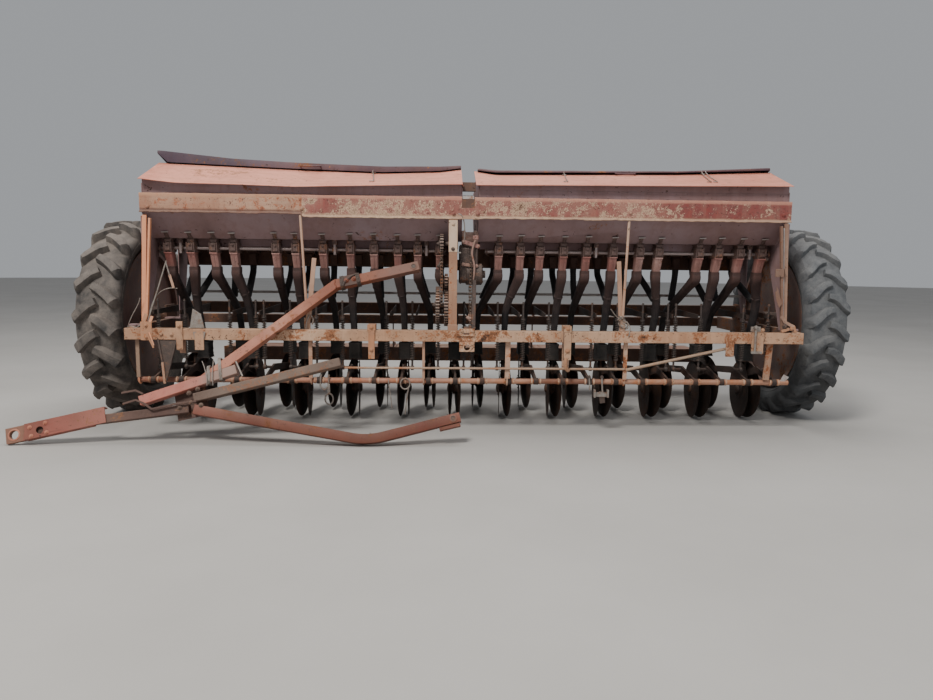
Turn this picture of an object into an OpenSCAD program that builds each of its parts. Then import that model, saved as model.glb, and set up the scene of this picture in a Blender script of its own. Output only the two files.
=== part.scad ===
// Towed grain and fertiliser seed drill, 24 rows, with its drawbar unbolted
// and leaning on the front beam. Millimetres, +Z up, X to the right of
// someone who looks at the front of the machine, Y towards its back.
// Helper points below are measured from the ground under the middle of the
// axle line; frame_x and frame_y then move the origin to the middle of the
// machine's footprint.

/* [Wheels] */
// Outer diameter of a wheel over its lugs
wheel_d = 1180; // [1140:10:1200]
// Width of a tyre
tyre_w = 250; // [200:5:260]
// Distance between the middles of the two tyres
track = 4110; // [4060:5:4200]
// Diameter of the rim where the tyre sits
rim_d = 810; // [760:10:850]

/* [Frame] */
// Length of the front beam
beam_len = 3700; // [3690:2:3704]
// Side of the square front beam
beam_s = 60; // [50:1:64]
// Height of the middle of the front beam
beam_z = 545; // [540:1:550]
// Wall of the frame tubes
tube_wall = 5; // [3:1:8]

/* [Hoppers] */
// Length of one hopper
hopper_len = 1707; // [1690:1:1710]
// Half of the gap between the two hoppers
hopper_gap = 48; // [46:1:60]
// Thickness of the sheet steel
sheet = 3; // [2:0.5:4]

/* [Openers] */
// Number of rows, half of them on each side
rows = 24; // [24]
// Distance between two rows
pitch = 150; // [150]
// Diameter of an opener disc
disc_d = 350; // [330:5:352]
// Thickness of an opener disc
disc_t = 4; // [3:0.5:5]
// Toe angle of each disc, in degrees
disc_toe = 5; // [3:0.5:5]

/* [Metering] */
// Radius of the metering shafts
shaft_r = 9; // [7:0.5:9.5]
// Width of a metering housing
meter_w = 46; // [42:1:60]

/* [Drawbar] */
// Side of the drawbar's square bars
bar_s = 50; // [46:1:52]
// Sideways reach of the upper side arm at its bend
reach_up = 424; // [415:1:428]
// Sideways reach of the lower side arm at its bend
reach_low = 440; // [430:1:440]
// Distance from the hitch eye to the bends
arm_bend = 1735; // [1700:1:1740]
// Distance from the hitch eye to the tips of the side arms
arm_tip = 2210; // [2180:1:2220]

/* [Hidden] */

$fn = 48;
// middle of the footprint, from the ground under the middle of the axle line
frame_x = -89.3;
frame_y = -72.5;

wheel_r = wheel_d / 2;
rim_r = rim_d / 2;
beam_y = -630;
beam_hi = beam_z + beam_s / 2;
beam_lo = beam_z - beam_s / 2;
rail_x0 = 1814;
rail_x1 = 1850;
rail_lo = 505;
rail_hi = 585;
rear_y = 510;

hop_x0 = hopper_gap;
hop_x1 = hopper_gap + hopper_len;
// outside of the hopper's folded sheet, [y, z] from the top of its front wall round to the back
hop = [[-580, 1348], [-580, 1290], [-595, 1290], [-595, 1197], [-460, 1062], [-385, 1062],
       [-235, 1178], [-90, 1092], [0, 1092], [150, 1230], [150, 1392]];
// sloping front roofs, [x, z of the eave, z of the ridge] along each
roof_l = [[-hop_x1, 1363.5, 1484], [-1566, 1343, 1479], [-1230, 1338.5, 1466.5], [-930, 1332, 1456], [-500, 1344.5, 1445],
          [-170, 1354, 1457], [-hop_x0, 1357.5, 1475]];
roof_r = [[hop_x0 - 20, 1355, 1466], [150, 1356, 1446], [1200, 1366, 1463], [hop_x1, 1372, 1483.5]];
hinge_y = 170;
hinge_z = 1400;

// hinge bar of the openers, and the two ranks: [disc y, tube bend y, tube bend z, tube end y, boot height]
open_y = -600;
open_z = 290;
bar_r = 15;
ranks = [[60, 0, 630, 48, 136], [-200, -320, 690, -212, 94]];
disc_z = disc_d / 2 + 5;
boot_z = 365;
// inside of a boot, from its disc's middle
boot_y0 = -49;
boot_y1 = 39;
// metering units: [x from the middle, side of its row's spring rod: -1 inner, 1 outer]
units = [[167, -1], [290, -1], [402, -1], [536, -1], [668, 1], [820, 1],
         [972, 1], [1082, 1], [1315, -1], [1425, -1], [1550, 1], [1675, 1]];
meter_z = 1008;
meter_y = -432;
rod_off = 52;
rod_y = -380;
rod_z = 330;
lift_y = 170;
lift_z = 645;

// drawbar plane: the hitch eye, and the turn that lays local x along the drawbar, local y across it
eye = [-2317, -895, 58.9];
lean = [67.64, -12.4, 4.82];
// short bar at the front of the upper arm, [x, y] of its two ends
stub = [[636, 19], [1142, 75]];
// middle of the clamp on the upper arm
arm_clamp = 425;

function unit(v) = v / norm(v);
function left(a, b) = let (d = unit(b - a)) [-d[1], d[0]];
function shifted(p, i, t) =
    let (n1 = i > 0 ? left(p[i - 1], p[i]) : left(p[0], p[1]),
         n2 = i < len(p) - 1 ? left(p[i], p[i + 1]) : n1,
         m = unit(n1 + n2))
    p[i] + m * t / (m * n1);
// closed outline of a sheet of thickness t to the left of an open line
function ribbon(p, t) = concat(p, [for (i = [len(p) - 1:-1:0]) shifted(p, i, t)]);
// closed outline of a bar of width w around an open line
function band(p, w) = concat([for (i = [0:len(p) - 1]) shifted(p, i, -w / 2)],
                             [for (i = [len(p) - 1:-1:0]) shifted(p, i, w / 2)]);
function row_x(k) = (k - (rows - 1) / 2) * pitch;
function rank(k) = k % 2;
function half(k) = k < rows / 2 ? rows / 2 - 1 - k : k - rows / 2;
function side(k) = k < rows / 2 ? -1 : 1;

module place() translate([-frame_x, -frame_y, 0]) children();
module yz(x0, x1) translate([x0, 0, 0]) rotate([90, 0, 90]) linear_extrude(x1 - x0) children();
module xz(y0, y1) translate([0, y1, 0]) rotate([90, 0, 0]) linear_extrude(y1 - y0) children();
module box(x0, x1, y0, y1, z0, z1) translate([x0, y0, z0]) cube([x1 - x0, y1 - y0, z1 - z0]);
module rod_x(x0, x1, y, z, r) translate([x0, y, z]) rotate([0, 90, 0]) cylinder(h = x1 - x0, r = r);
module both() { children(); mirror([1, 0, 0]) children(); }
// round bar or cone from p to q
module cone(p, q, r1, r2) {
    d = q - p;
    translate(p) rotate([0, acos(d[2] / norm(d)), atan2(d[1], d[0])]) cylinder(h = norm(d), r1 = r1, r2 = r2);
}
// flat strip of width w from p to q, both [x, z], between two y planes
module strip(p, q, w, y0, y1) {
    s = left(p, q) * w / 2;
    xz(y0, y1) polygon([p + s, q + s, q - s, p - s]);
}

// ---------------------------------------------------------------- frame
module front_beam() color("#8a6a52") place()
    difference() {
        box(-beam_len / 2, beam_len / 2, beam_y - beam_s / 2, beam_y + beam_s / 2, beam_lo, beam_hi);
        box(-beam_len / 2 - 1, beam_len / 2 + 1, beam_y - beam_s / 2 + tube_wall, beam_y + beam_s / 2 - tube_wall,
            beam_lo + tube_wall, beam_hi - tube_wall);
    }

module side_rails() color("#6b4434") place() both()
    xz(beam_y + beam_s / 2, rear_y - 30)
        polygon([[rail_x0, rail_lo], [rail_x1, rail_lo], [rail_x1, rail_lo + 6], [rail_x0 + 6, rail_lo + 6],
                 [rail_x0 + 6, rail_hi - 6], [rail_x1, rail_hi - 6], [rail_x1, rail_hi], [rail_x0, rail_hi]]);

module rear_beam() color("#6b4434") place()
    difference() {
        box(-rail_x1, rail_x1, rear_y - 30, rear_y + 30, beam_lo, beam_hi);
        box(-rail_x1 - 1, rail_x1 + 1, rear_y - 30 + tube_wall, rear_y + 30 - tube_wall, beam_lo + tube_wall, beam_hi - tube_wall);
    }

module axles() color("#4a3a34") place() both() {
    box(rail_x1, rail_x1 + 12, -70, 70, 515, 665);
    rod_x(rail_x1, track / 2 + 61, 0, wheel_r, 25);
    rod_x(rail_x1 + 12, track / 2 - 138, 0, wheel_r, 38);
    rod_x(track / 2 + 58, track / 2 + 77, 0, wheel_r, 36);
}

// ---------------------------------------------------------------- wheels
module tyre(s) {
    w = tyre_w / 2;
    translate([s * track / 2, 0, wheel_r]) rotate([0, 90, 0]) rotate_extrude($fn = 96)
        polygon([[rim_r + 0.4, -76], [rim_r + 22, -85], [rim_r + 46, -w + 10], [rim_r + 80, -w], [wheel_r - 55, -w + 4],
                 [wheel_r - 22, -w + 12], [wheel_r - 4, -w + 40], [wheel_r, -50], [wheel_r, 50], [wheel_r - 4, w - 40],
                 [wheel_r - 22, w - 12], [wheel_r - 55, w - 4], [rim_r + 80, w], [rim_r + 46, w - 10], [rim_r + 22, 85],
                 [rim_r + 0.4, 76]]);
}
module scale_x(s) { if (s > 0) children(); else mirror([1, 0, 0]) children(); }

module tyre_left() color("#3a3733") place() tyre(-1);
module tyre_right() color("#444a50") place() tyre(1);
// cross-section of the wheel's steel, [radius, distance out from the tyre's middle]:
// hub, dished disc, rim bed and its two flanges
module wheel_steel(s)
    translate([s * track / 2, 0, wheel_r]) scale_x(s) rotate([0, 90, 0]) rotate_extrude($fn = 96)
        polygon([[25.5, -132], [62, -132], [62, -40], [rim_r - 50, -66], [rim_r - 10, -66], [rim_r - 10, -96],
                 [rim_r + 16, -96], [rim_r + 16, -90], [rim_r, -90], [rim_r, 90], [rim_r + 16, 90], [rim_r + 16, 96],
                 [rim_r - 10, 96], [rim_r - 10, -56], [rim_r - 50, -56], [62, -28], [62, 56], [25.5, 56]]);
module rim_left() color("#5a2f28") place() wheel_steel(-1);
module rim_right() color("#5a2f28") place() wheel_steel(1);

// ---------------------------------------------------------------- supports
module side_plates() color("#a0574a") place() both() {
    yz(hop_x1, hop_x1 + 6) polygon([[-602, 1173], [130, 1190], [20, 800], [-42, 640], [-42, rail_hi + 8], [-105, rail_hi + 8], [-90, 1010], [-330, 1100],
                                    [-556, rail_hi + 8], [-602, rail_hi + 8]]);
    for (y = [[-599, -556], [-105, -42]]) box(hop_x1, rail_x1, y[0], y[1], rail_hi, rail_hi + 8);
}

module front_posts() color("#b98058") place() {
    // posts at the ends: an upright flat bar and a slanted one beside it
    for (s = [-1, 1]) {
        strip([s * 1766, beam_hi + 1], [s * 1738, 1177], 24, -610, -603);
        strip([s * 1744, beam_hi + 1], [s * 1704, 1160], 12, -630, -611);
    }
    // thick post left of the middle
    box(-116, -70, -613, -605, beam_hi, 1174);
    box(-116, -70, -605, -598, 1140, 1174);
    box(-120, -66, -640, -613, beam_hi, beam_hi + 30);
}

module stay_rods() color("#c09070") place() {
    // [x at the belt, x at the beam, x of the slanted flat's top, z at the belt]
    for (r = [[-915, -886, -846, 1187], [866, 850, 820, 1177]]) {
        cone([r[0], -604, r[3]], [r[1], -604, 620], 7, 7);
        box(r[1] - 16, r[1] + 16, -611, -600, beam_hi, 636);
        strip([r[1] + sign(r[2] - r[1]) * 6, 628], [r[2], 960], 24, -596, -590);
    }
}

// rusty band along a hopper's front, an angle with a narrow foot
module belt(x0, x1, foot) yz(x0, x1)
    polygon([[-595, 1290], [-603, 1290], [-603, foot + 6], [-614, foot + 4], [-614, foot], [-595, foot]]);
module belt_left() color("#8c4a3c") place() {
    belt(-hop_x1 - 8, -904, 1190);
    belt(-905, -hop_x0, 1174);
}
module belt_right() color("#8c4a3c") place() belt(hop_x0 - 26, hop_x1 + 8, 1178);

module centre_bridge() color("#7b6a60") place() {
    box(-hop_x0, hop_x0 - 26, -606, -597, 1235, 1285);
    box(-hop_x0, 28, -560, -530, 1330, 1378);
    box(-hop_x0, hop_x0, 60, 100, 1300, 1340);
}

// ---------------------------------------------------------------- hoppers
module hopper() {
    yz(hop_x0, hop_x1) polygon(ribbon(hop, sheet));
    // gables, the outer one is taller: [x, z at the ridge, z above the front wall]
    for (g = [[hop_x0, 1462, 1364], [hop_x1 - sheet, 1480, 1375]])
        yz(g[0], g[0] + sheet) polygon(concat(hop, [[-330, g[1]], [-580, g[2]]]));
    // wall between the grain and the fertiliser
    yz(hop_x0, hop_x1) polygon([[-236.5, 1176], [-233.5, 1176], [-233.5, 1400], [-236.5, 1400]]);
}
module hopper_left() color("#8f6058") place() mirror([1, 0, 0]) hopper();
module hopper_right() color("#8f6058") place() hopper();

// sagging sheet from the eave up to a narrow flat along the ridge
module roof(e)
    for (i = [0:len(e) - 2]) {
        hull() for (j = [i, i + 1])
            yz(e[j][0] - 0.25, e[j][0] + 0.25)
                polygon([[-628, e[j][1]], [-330, e[j][2]], [-330, e[j][2] + sheet], [-628, e[j][1] + sheet]]);
        hull() for (j = [i, i + 1])
            yz(e[j][0] - 0.25, e[j][0] + 0.25)
                polygon([[-331, e[j][2]], [-318, e[j][2]], [-318, e[j][2] + sheet], [-331, e[j][2] + sheet]]);
    }
module roof_left() color("#b9685a") place() roof(roof_l);
module roof_right() color("#b9685a") place() roof(roof_r);

// lid: a sheet from the hinge to a front edge whose height follows the table
// [x, z of the front edge, z of the lip's lower edge], with a turned-down lip
module lid(edge) {
    for (i = [0:len(edge) - 2]) {
        hull() for (j = [i, i + 1])
            yz(edge[j][0] - 0.25, edge[j][0] + 0.25)
                polygon([[-350, edge[j][1]], [158, 1404], [158, 1407], [-350, edge[j][1] + 3]]);
        hull() for (j = [i, i + 1])
            yz(edge[j][0] - 0.25, edge[j][0] + 0.25)
                polygon([[-350, edge[j][1] + 3], [-353, edge[j][1] + 3], [-353, edge[j][2]], [-350, edge[j][2]]]);
    }
}
module lid_knuckles(cs) for (c = cs, s = [-1, 1])
    difference() {
        union() {
            rod_x(c + s * 30 - 14, c + s * 30 + 14, hinge_y, hinge_z, 8);
            box(c + s * 30 - 14, c + s * 30 + 14, 110, hinge_y, hinge_z + 4, hinge_z + 8);
        }
        rod_x(c + s * 30 - 15, c + s * 30 + 15, hinge_y, hinge_z, 4.5);
    }
hinge_c = [200, 900, 1600];
module lid_left() color("#7a3a34") place() {
    lid([[-hop_x1, 1550.5, 1535], [-1700, 1545.5, 1486], [-1350, 1512, 1473], [-1000, 1495, 1461], [-500, 1481, 1449],
         [-170, 1485, 1461], [-hop_x0, 1493, 1478]]);
    lid_knuckles(-hinge_c);
}
module lid_right() color("#a55a4e") place() {
    lid([[hop_x0, 1478, 1467], [150, 1469, 1457], [1200, 1480, 1471], [hop_x1 - 10, 1507, 1493]]);
    lid_knuckles(hinge_c);
}
// fixed hinge halves on the hoppers' back edge, each with its pin
module lid_hinges() color("#6a4a40") place() both() for (c = hinge_c) {
    rod_x(c - 15, c + 15, hinge_y, hinge_z, 8);
    rod_x(c - 46, c + 46, hinge_y, hinge_z, 4);
    box(c - 15, c + 15, 150, 154, 1340, hinge_z - 4);
    box(c - 15, c + 15, 150, hinge_y, hinge_z - 10, hinge_z - 4);
}

// ---------------------------------------------------------------- metering
module metering(s) {
    // strip behind the units, down from the hopper's bottom
    scale_x(s) box(62, 1740, -391.5, -388.5, 1022, 1062);
    for (u = units) translate([s * u[0], 0, 0])
        difference() {
            union() {
                box(-18, 18, -468, -400, 1040, 1062);
                box(-meter_w / 2, meter_w / 2, -478, -392, 985, 1040);
                yz(-21, 21) polygon([[-472, 985], [-412, 985], [-386, 900], [-434, 900]]);
            }
            rod_x(-40, 40, meter_y, meter_z, shaft_r + 1.5);
        }
}
module metering_left() color("#9a5a52") place() metering(-1);
module metering_right() color("#9a5a52") place() metering(1);

module metering_shafts() color("#a8a29a") place() {
    rod_x(-1735, -118, meter_y, meter_z, shaft_r);
    rod_x(90, 1735, meter_y, meter_z, shaft_r);
    for (x = [-1612, -757, -242, 724, 1612])
        difference() {
            box(x - 6, x + 6, -450, -405, 980, 1062);
            rod_x(x - 7, x + 7, meter_y, meter_z, shaft_r - 2);
        }
}

module fertiliser_units() color("#6f4a42") place() both() {
    // plate that carries the units
    box(70, 1735, -4.5, -1.5, 912, 1092);
    for (u = units) translate([u[0], 0, 0]) {
        box(-38, 38, -85, -5, 985, 1092);
        yz(-24, 24) polygon([[-80, 985], [-34, 985], [-40, 915], [-78, 915]]);
    }
}
// rubber tubes from the fertiliser units forward to the seed tubes:
// [y, z, share of the seed tube's sideways run] where they meet, for each rank
fert_ends = [[-95, 724, 0.77], [-298, 738, 0.7]];
module fertiliser_tubes() color("#26282c") place() for (k = [0:rows - 1]) {
    u = side(k) * units[half(k)][0];
    e = fert_ends[rank(k)];
    a = [u, -59, 882];
    b = [u + (row_x(k) - u) * e[2], e[0], e[1]];
    g = unit(b - a);
    translate(a) cylinder(h = 33, r = 20);
    translate(a) sphere(r = 24);
    cone(a + 12 * g, b, 20, 20);
}

// rubber tubes from the metering spouts down to the openers' boots
module tubes(s) for (k = [0:rows - 1]) if (side(k) == s) {
    u = s * units[half(k)][0];
    x = row_x(k);
    r = ranks[rank(k)];
    b = [x, r[1], r[2]];
    e = [x, r[3], boot_z + r[4] - 12];
    d = unit(e - b);
    a = [u, -410, 858];
    g = unit(b - a);
    translate(a) cylinder(h = 41.5, r = 27);
    translate(a) sphere(r = 32);
    cone(a + 15 * g, b - 15 * g, 27, 26);
    translate(b) sphere(r = 29);
    cone(b + 15 * d, e, 26, 20);
}
module seed_tubes_left() color("#26282c") place() tubes(-1);
module seed_tubes_right() color("#26282c") place() tubes(1);

// ---------------------------------------------------------------- drive in the middle
module drive_gears() color("#6a5c54") place() {
    // carrier plate
    box(-101, -94, -585, -430, 600, 1062);
    // [x, y, z, radius, width] of the wheels seen edge-on
    for (g = [[-155, -545, 1045, 55, 20], [-176, -512, 705, 105, 22], [-129, -512, 690, 102, 22]]) {
        rod_x(g[0] - g[4] / 2, g[0] + g[4] / 2, g[1], g[2], g[3]);
        rod_x(g[0] - 14, -94, g[1], g[2], 12);
    }
}

module drive_gearbox() color("#7a4038") place() {
    box(-58, 46, -540, -440, 830, 1040);
    rod_x(-45, 45, -492, 1080, 42);
    rod_x(-20, 74, -492, 880, 60);
    box(-30, 30, -520, -450, 1030, 1062);
    box(-94, -58, -520, -470, 900, 960);
    // chain down to the beam
    box(-3, 11, -560, -540, 600, 1000);
    box(-3, 11, -640, -540, 584, 600);
}

// ---------------------------------------------------------------- hinge bars and what hangs on the beam
module hinge_bars() color("#a5683f") place() {
    rod_x(-1810, -50, open_y, open_z, bar_r);
    rod_x(-45, 1805, open_y, open_z, bar_r);
}

// straps from the beam's underside to the hinge bars: [x top, x bottom, width, z bottom]
hangers = [[-1556, -1556, 30, 440], [-251, -251, 14, 305.5], [214, 212, 28, 308], [534, 534, 40, 360], [868, 868, 22, 305.5],
           [1680, 1668, 36, 307], [-1798, -1798, 20, 305.5], [-868, -868, 20, 305.5]];
module bar_hangers() color("#9c7a60") place() for (h = hangers)
    strip([h[0], beam_lo - abs(h[0] - h[1]) / 10], [h[1], h[3]], h[2], -628, -618);

module beam_brackets() color("#7d6a5c") place() {
    // two plates in the middle, over and under the beam, the lower one with a pin hole
    difference() {
        union() {
            box(-56, 26, -670, -660, 548, 588);
            box(-56, 26, -660, -600, beam_hi, beam_hi + 8);
            box(-56, 26, -670, -660, 462, beam_lo);
            box(-56, 26, -670, -600, beam_lo - 8, beam_lo);
        }
        translate([-14, -700, 485]) rotate([-90, 0, 0]) cylinder(h = 60, r = 16);
    }
    // clamp plates over the beam: [x, width, z bottom, z top]
    for (b = [[-1556, 34, 462, 615], [-1452, 48, 462, 555], [-532, 34, 420, 604], [534, 44, 420, 602], [1590, 66, 470, 600]])
        box(b[0] - b[1] / 2, b[0] + b[1] / 2, -668, -660, b[2], b[3]);
    box(1415, 1460, -668, -660, 444, 555);
}

module thin_rods() color("#b8a48c") place() {
    rod_x(-682, 862, -636, 366, 6);
    cone([868, -644, 363], [1436, -644, 488], 8, 8);
}

// ---------------------------------------------------------------- lift
module lift_shaft() color("#3c3434") place() {
    box(-1808, 1808, lift_y - 35, lift_y + 35, lift_z - 35, lift_z + 35);
    rod_x(-1828, 1828, lift_y, lift_z, 20);
}
module lift_bearings() color("#5b463c") place() both()
    difference() {
        yz(rail_x0, rail_x0 + 12) polygon([[lift_y - 45, rail_hi], [lift_y + 45, rail_hi], [lift_y + 45, lift_z + 45], [lift_y - 45, lift_z + 45]]);
        rod_x(rail_x0 - 1, rail_x0 + 13, lift_y, lift_z, 20.5);
    }
// one arm beside each spring rod
module lift_arms() color("#5b463c") place() for (k = [0:rows - 1]) {
    x = row_x(k) + side(k) * units[half(k)][1] * (rod_off + 22.5);
    yz(x - 2.5, x + 2.5) polygon([[lift_y - 35, lift_z - 25], [lift_y - 35, lift_z + 25], [rod_y - 15, lift_z + 12], [rod_y - 15, lift_z - 12]]);
}
module link_rod() color("#8a7f74") place() {
    rod_x(-1755, 1755, -40, 752, 8);
}
// pressure rods with their springs as plain sleeves; each foot is an eye on a leash's pin
module spring_rods() color("#4c4440") place() for (k = [0:rows - 1]) {
    x = row_x(k) + side(k) * units[half(k)][1] * rod_off;
    translate([x, rod_y, 0]) {
        translate([0, 0, rod_z + 10]) cylinder(h = 720 - rod_z - 10, r = 6);
        translate([0, 0, 380]) cylinder(h = 240, r = 14);
    }
    difference() {
        rod_x(x - 8, x + 8, rod_y, rod_z, 14);
        rod_x(x - 9, x + 9, rod_y, rod_z, 8.5);
    }
}

// ---------------------------------------------------------------- openers
module leashes() color("#4a3b35") place() for (k = [0:rows - 1]) {
    x = row_x(k);
    y = ranks[rank(k)][0];
    difference() {
        union() {
            rod_x(x - 13, x + 13, open_y, open_z, 19);
            yz(x - 6, x + 6) polygon([[open_y, open_z + 12], [rod_y, rod_z + 20], [y - 27, 300], [y - 27, 262],
                                      [rod_y, rod_z - 20], [open_y, open_z - 12]]);
        }
        rod_x(x - 14, x + 14, open_y, open_z, bar_r + 0.6);
    }
    s = side(k) * units[half(k)][1];
    rod_x(s > 0 ? x : x - rod_off - 12, s > 0 ? x + rod_off + 12 : x, rod_y, rod_z, 8);
}

module opener_bodies() color("#51413a") place() for (k = [0:rows - 1]) {
    y = ranks[rank(k)][0];
    translate([row_x(k), y, 0]) {
        yz(-8, 8) polygon([[-26, 310], [-26, 150], [26, 150], [30, 362], [-20, 362]]);
        box(-37, 37, boot_y0 - 3, boot_y1 + 3, 361, 365);
        for (s = [-1, 1]) rotate([0, 0, s * disc_toe]) translate([0, 0, disc_z]) rotate([0, 90 * s, 0])
            cylinder(h = 34, r = 26);
    }
}
module opener_discs() color("#5a4238") place() for (k = [0:rows - 1]) translate([row_x(k), ranks[rank(k)][0], disc_z])
    for (s = [-1, 1]) rotate([0, 0, s * disc_toe]) rotate([0, 90 * s, 0])
        difference() {
            translate([0, 0, 20]) cylinder(h = disc_t, d = disc_d, $fn = 72);
            translate([0, 0, 10]) cylinder(h = 20, r = 26.4);
        }
module seed_boots() color("#2c2c2e") place() for (k = [0:rows - 1]) {
    r = ranks[rank(k)];
    translate([row_x(k), r[0], boot_z]) difference() {
        box(-37, 37, boot_y0 - 3, boot_y1 + 3, 0, r[4]);
        box(-34, 34, boot_y0, boot_y1, -1, r[4] + 1);
    }
}

// ---------------------------------------------------------------- footboard
module footboard() color("#8a4a3a") place() {
    box(-1700, 1700, 560, 800, 318, 340);
    box(-1700, 1700, 554, 560, 244, 340);
}
module footboard_brackets() color("#5b463c") place() for (x = [-1500, -500, 500, 1500]) {
    yz(x - 4, x + 4) polygon([[540, 575], [560, 575], [560, 340], [780, 340], [780, 350], [575, 380], [575, 590], [540, 590]]);
    box(x - 4, x + 4, 480, 540, beam_hi, 590);
}

// ---------------------------------------------------------------- drawbar
module drawbar() place() translate(eye) rotate(lean) children();
// bar along an open line of [x, y] points in the drawbar's plane, between two heights over that plane
module bar(p, w, n0, n1) translate([0, 0, n0]) linear_extrude(n1 - n0) polygon(band(p, w));
module hitch_head() color("#a5453a") drawbar()
    difference() {
        union() {
            translate([-36, -52, -11]) cube([100, 80, 22]);
            translate([60, -54, -20]) cube([400, 84, 40]);
        }
        translate([4, -12, -30]) cylinder(h = 60, r = 22);
        translate([134, -18, 8]) cylinder(h = 16, r = 18);
        // open back of the channel, and its lower flange, which is shorter
        translate([75, -48, -30]) cube([430, 72, 44]);
        translate([395, -60, -30]) cube([70, 30, 44]);
    }
// bar from the head's channel to the lower arm
module drawbar_neck() color("#4a2a24") drawbar()
    bar([[300, -15], [872, -73]], 45, -25, 11);
// bent flats in front and a plate behind, where the arms meet
module drawbar_straps() color("#8d8078") drawbar() {
    bar([[556, 78], [628, 75], [663, 48]], 10, 25, 31);
    bar([[556, 19], [622, 25], [657, 1], [695, -40], [817, -41], [922, -50]], 10, 25, 31);
    translate([800, -120, -31]) cube([160, 180, 6]);
    // clamp on the upper arm
    bar([[1779, arm_clamp], [1851, arm_clamp]], 58, 25, 33);
}
module drawbar_stub() color("#8d8078") drawbar() bar(stub, bar_s, -bar_s / 2, bar_s / 2);
// the upper arm starts at the stub's edge
module drawbar_arm_upper() color("#a8604e") drawbar()
    difference() {
        bar([[890, 20], [arm_bend - 4, reach_up], [arm_tip - 14, reach_up + 6]], bar_s, -bar_s / 2, bar_s / 2);
        bar([stub[0] - [0, 50], stub[1] + [2, -50] + (stub[1] - stub[0])], bar_s + 100, -50, 50);
    }
module drawbar_arm_lower() color("#a8604e") drawbar() {
    bar([[900, -87], [arm_bend - 4, -reach_low], [arm_tip + 12, -reach_low + 4]], bar_s, -bar_s / 2, bar_s / 2);
    translate([arm_tip - 105, -reach_low - bar_s / 2 - 18, -20]) cube([110, 18.5, 40]);
}
module drawbar_centre_bar() color("#6e4538") drawbar()
    bar([[905, -27], [1675, -8]], 46, -bar_s / 2, bar_s / 2);

front_beam();
side_rails();
rear_beam();
axles();
tyre_left();
rim_left();
tyre_right();
rim_right();
side_plates();
front_posts();
stay_rods();
belt_left();
belt_right();
centre_bridge();
hopper_left();
hopper_right();
roof_left();
roof_right();
lid_left();
lid_right();
lid_hinges();
metering_left();
metering_right();
metering_shafts();
fertiliser_units();
fertiliser_tubes();
seed_tubes_left();
seed_tubes_right();
drive_gears();
drive_gearbox();
hinge_bars();
bar_hangers();
beam_brackets();
thin_rods();
lift_shaft();
lift_arms();
lift_bearings();
link_rod();
spring_rods();
leashes();
opener_bodies();
opener_discs();
seed_boots();
footboard();
footboard_brackets();
hitch_head();
drawbar_arm_upper();
drawbar_arm_lower();
drawbar_centre_bar();
drawbar_neck();
drawbar_straps();
drawbar_stub();
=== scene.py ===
import math
import random

import bpy
import numpy as np
from mathutils import Matrix, Vector, noise


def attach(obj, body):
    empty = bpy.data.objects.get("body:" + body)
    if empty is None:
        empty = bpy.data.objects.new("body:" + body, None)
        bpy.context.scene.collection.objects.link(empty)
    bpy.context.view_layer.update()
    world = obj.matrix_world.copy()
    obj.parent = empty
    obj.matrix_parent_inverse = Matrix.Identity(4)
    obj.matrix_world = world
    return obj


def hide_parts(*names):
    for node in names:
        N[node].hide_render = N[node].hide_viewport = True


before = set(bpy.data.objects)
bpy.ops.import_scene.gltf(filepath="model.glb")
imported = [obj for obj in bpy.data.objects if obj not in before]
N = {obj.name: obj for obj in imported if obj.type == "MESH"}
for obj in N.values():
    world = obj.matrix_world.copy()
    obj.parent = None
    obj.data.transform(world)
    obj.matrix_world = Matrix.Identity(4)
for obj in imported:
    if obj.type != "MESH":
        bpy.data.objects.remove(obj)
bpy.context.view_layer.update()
# Points below are in the machine frame: from the ground under the middle of the axle line, metres.
OFF = np.array([0.0893, 0.0725, 0.0])
PI = math.pi

# ------------------------------------------------------------------ camera, floor, light
cam_data = bpy.data.cameras.new("camera")
cam = bpy.data.objects.new("camera", cam_data)
bpy.context.scene.collection.objects.link(cam)
yaw, pitch, roll = math.radians(-2.05), math.radians(6.97), math.radians(0.64)
fwd = Vector((-math.sin(yaw) * math.cos(pitch), math.cos(yaw) * math.cos(pitch), -math.sin(pitch)))
right = Vector((math.cos(yaw), math.sin(yaw), 0))
up = right.cross(fwd)
r_ = math.cos(roll) * right + math.sin(roll) * up
u_ = r_.cross(fwd)
m = Matrix((r_, u_, -fwd)).transposed().to_4x4()
m.translation = Vector((-0.1516, -4.4358, 0.9327)) + Vector(OFF)
cam.matrix_world = m
cam_data.sensor_width = 36
cam_data.lens = 697.8 / 933 * 36
cam_data.clip_start, cam_data.clip_end = 0.05, 200
bpy.context.scene.camera = cam

world = bpy.data.worlds.new("world")
bpy.context.scene.world = world
world.use_nodes = True
world.node_tree.nodes["Background"].inputs[0].default_value = (0.86, 0.89, 0.93, 1)
world.node_tree.nodes["Background"].inputs[1].default_value = 0.42


def area(name, loc, target, size, power, color=(1, 1, 1)):
    d = bpy.data.lights.new(name, "AREA")
    d.shape, d.size, d.energy, d.color = "DISK", size, power, color
    o = bpy.data.objects.new(name, d)
    bpy.context.scene.collection.objects.link(o)
    o.location = loc
    o.rotation_mode = "QUATERNION"
    o.rotation_quaternion = (Vector(target) - Vector(loc)).to_track_quat("-Z", "Y")
    return o


area("key", (-2.6, -5.6, 7.2), (0, 0, 0.9), 2.2, 680, (1.0, 0.965, 0.91))
area("top", (0.5, 1.2, 7.5), (0, 0.1, 1.0), 5.0, 300, (1.0, 0.98, 0.95))
area("fill", (5.5, -4.5, 2.6), (0.2, 0, 0.8), 4.0, 45, (0.85, 0.92, 1.0))


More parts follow.
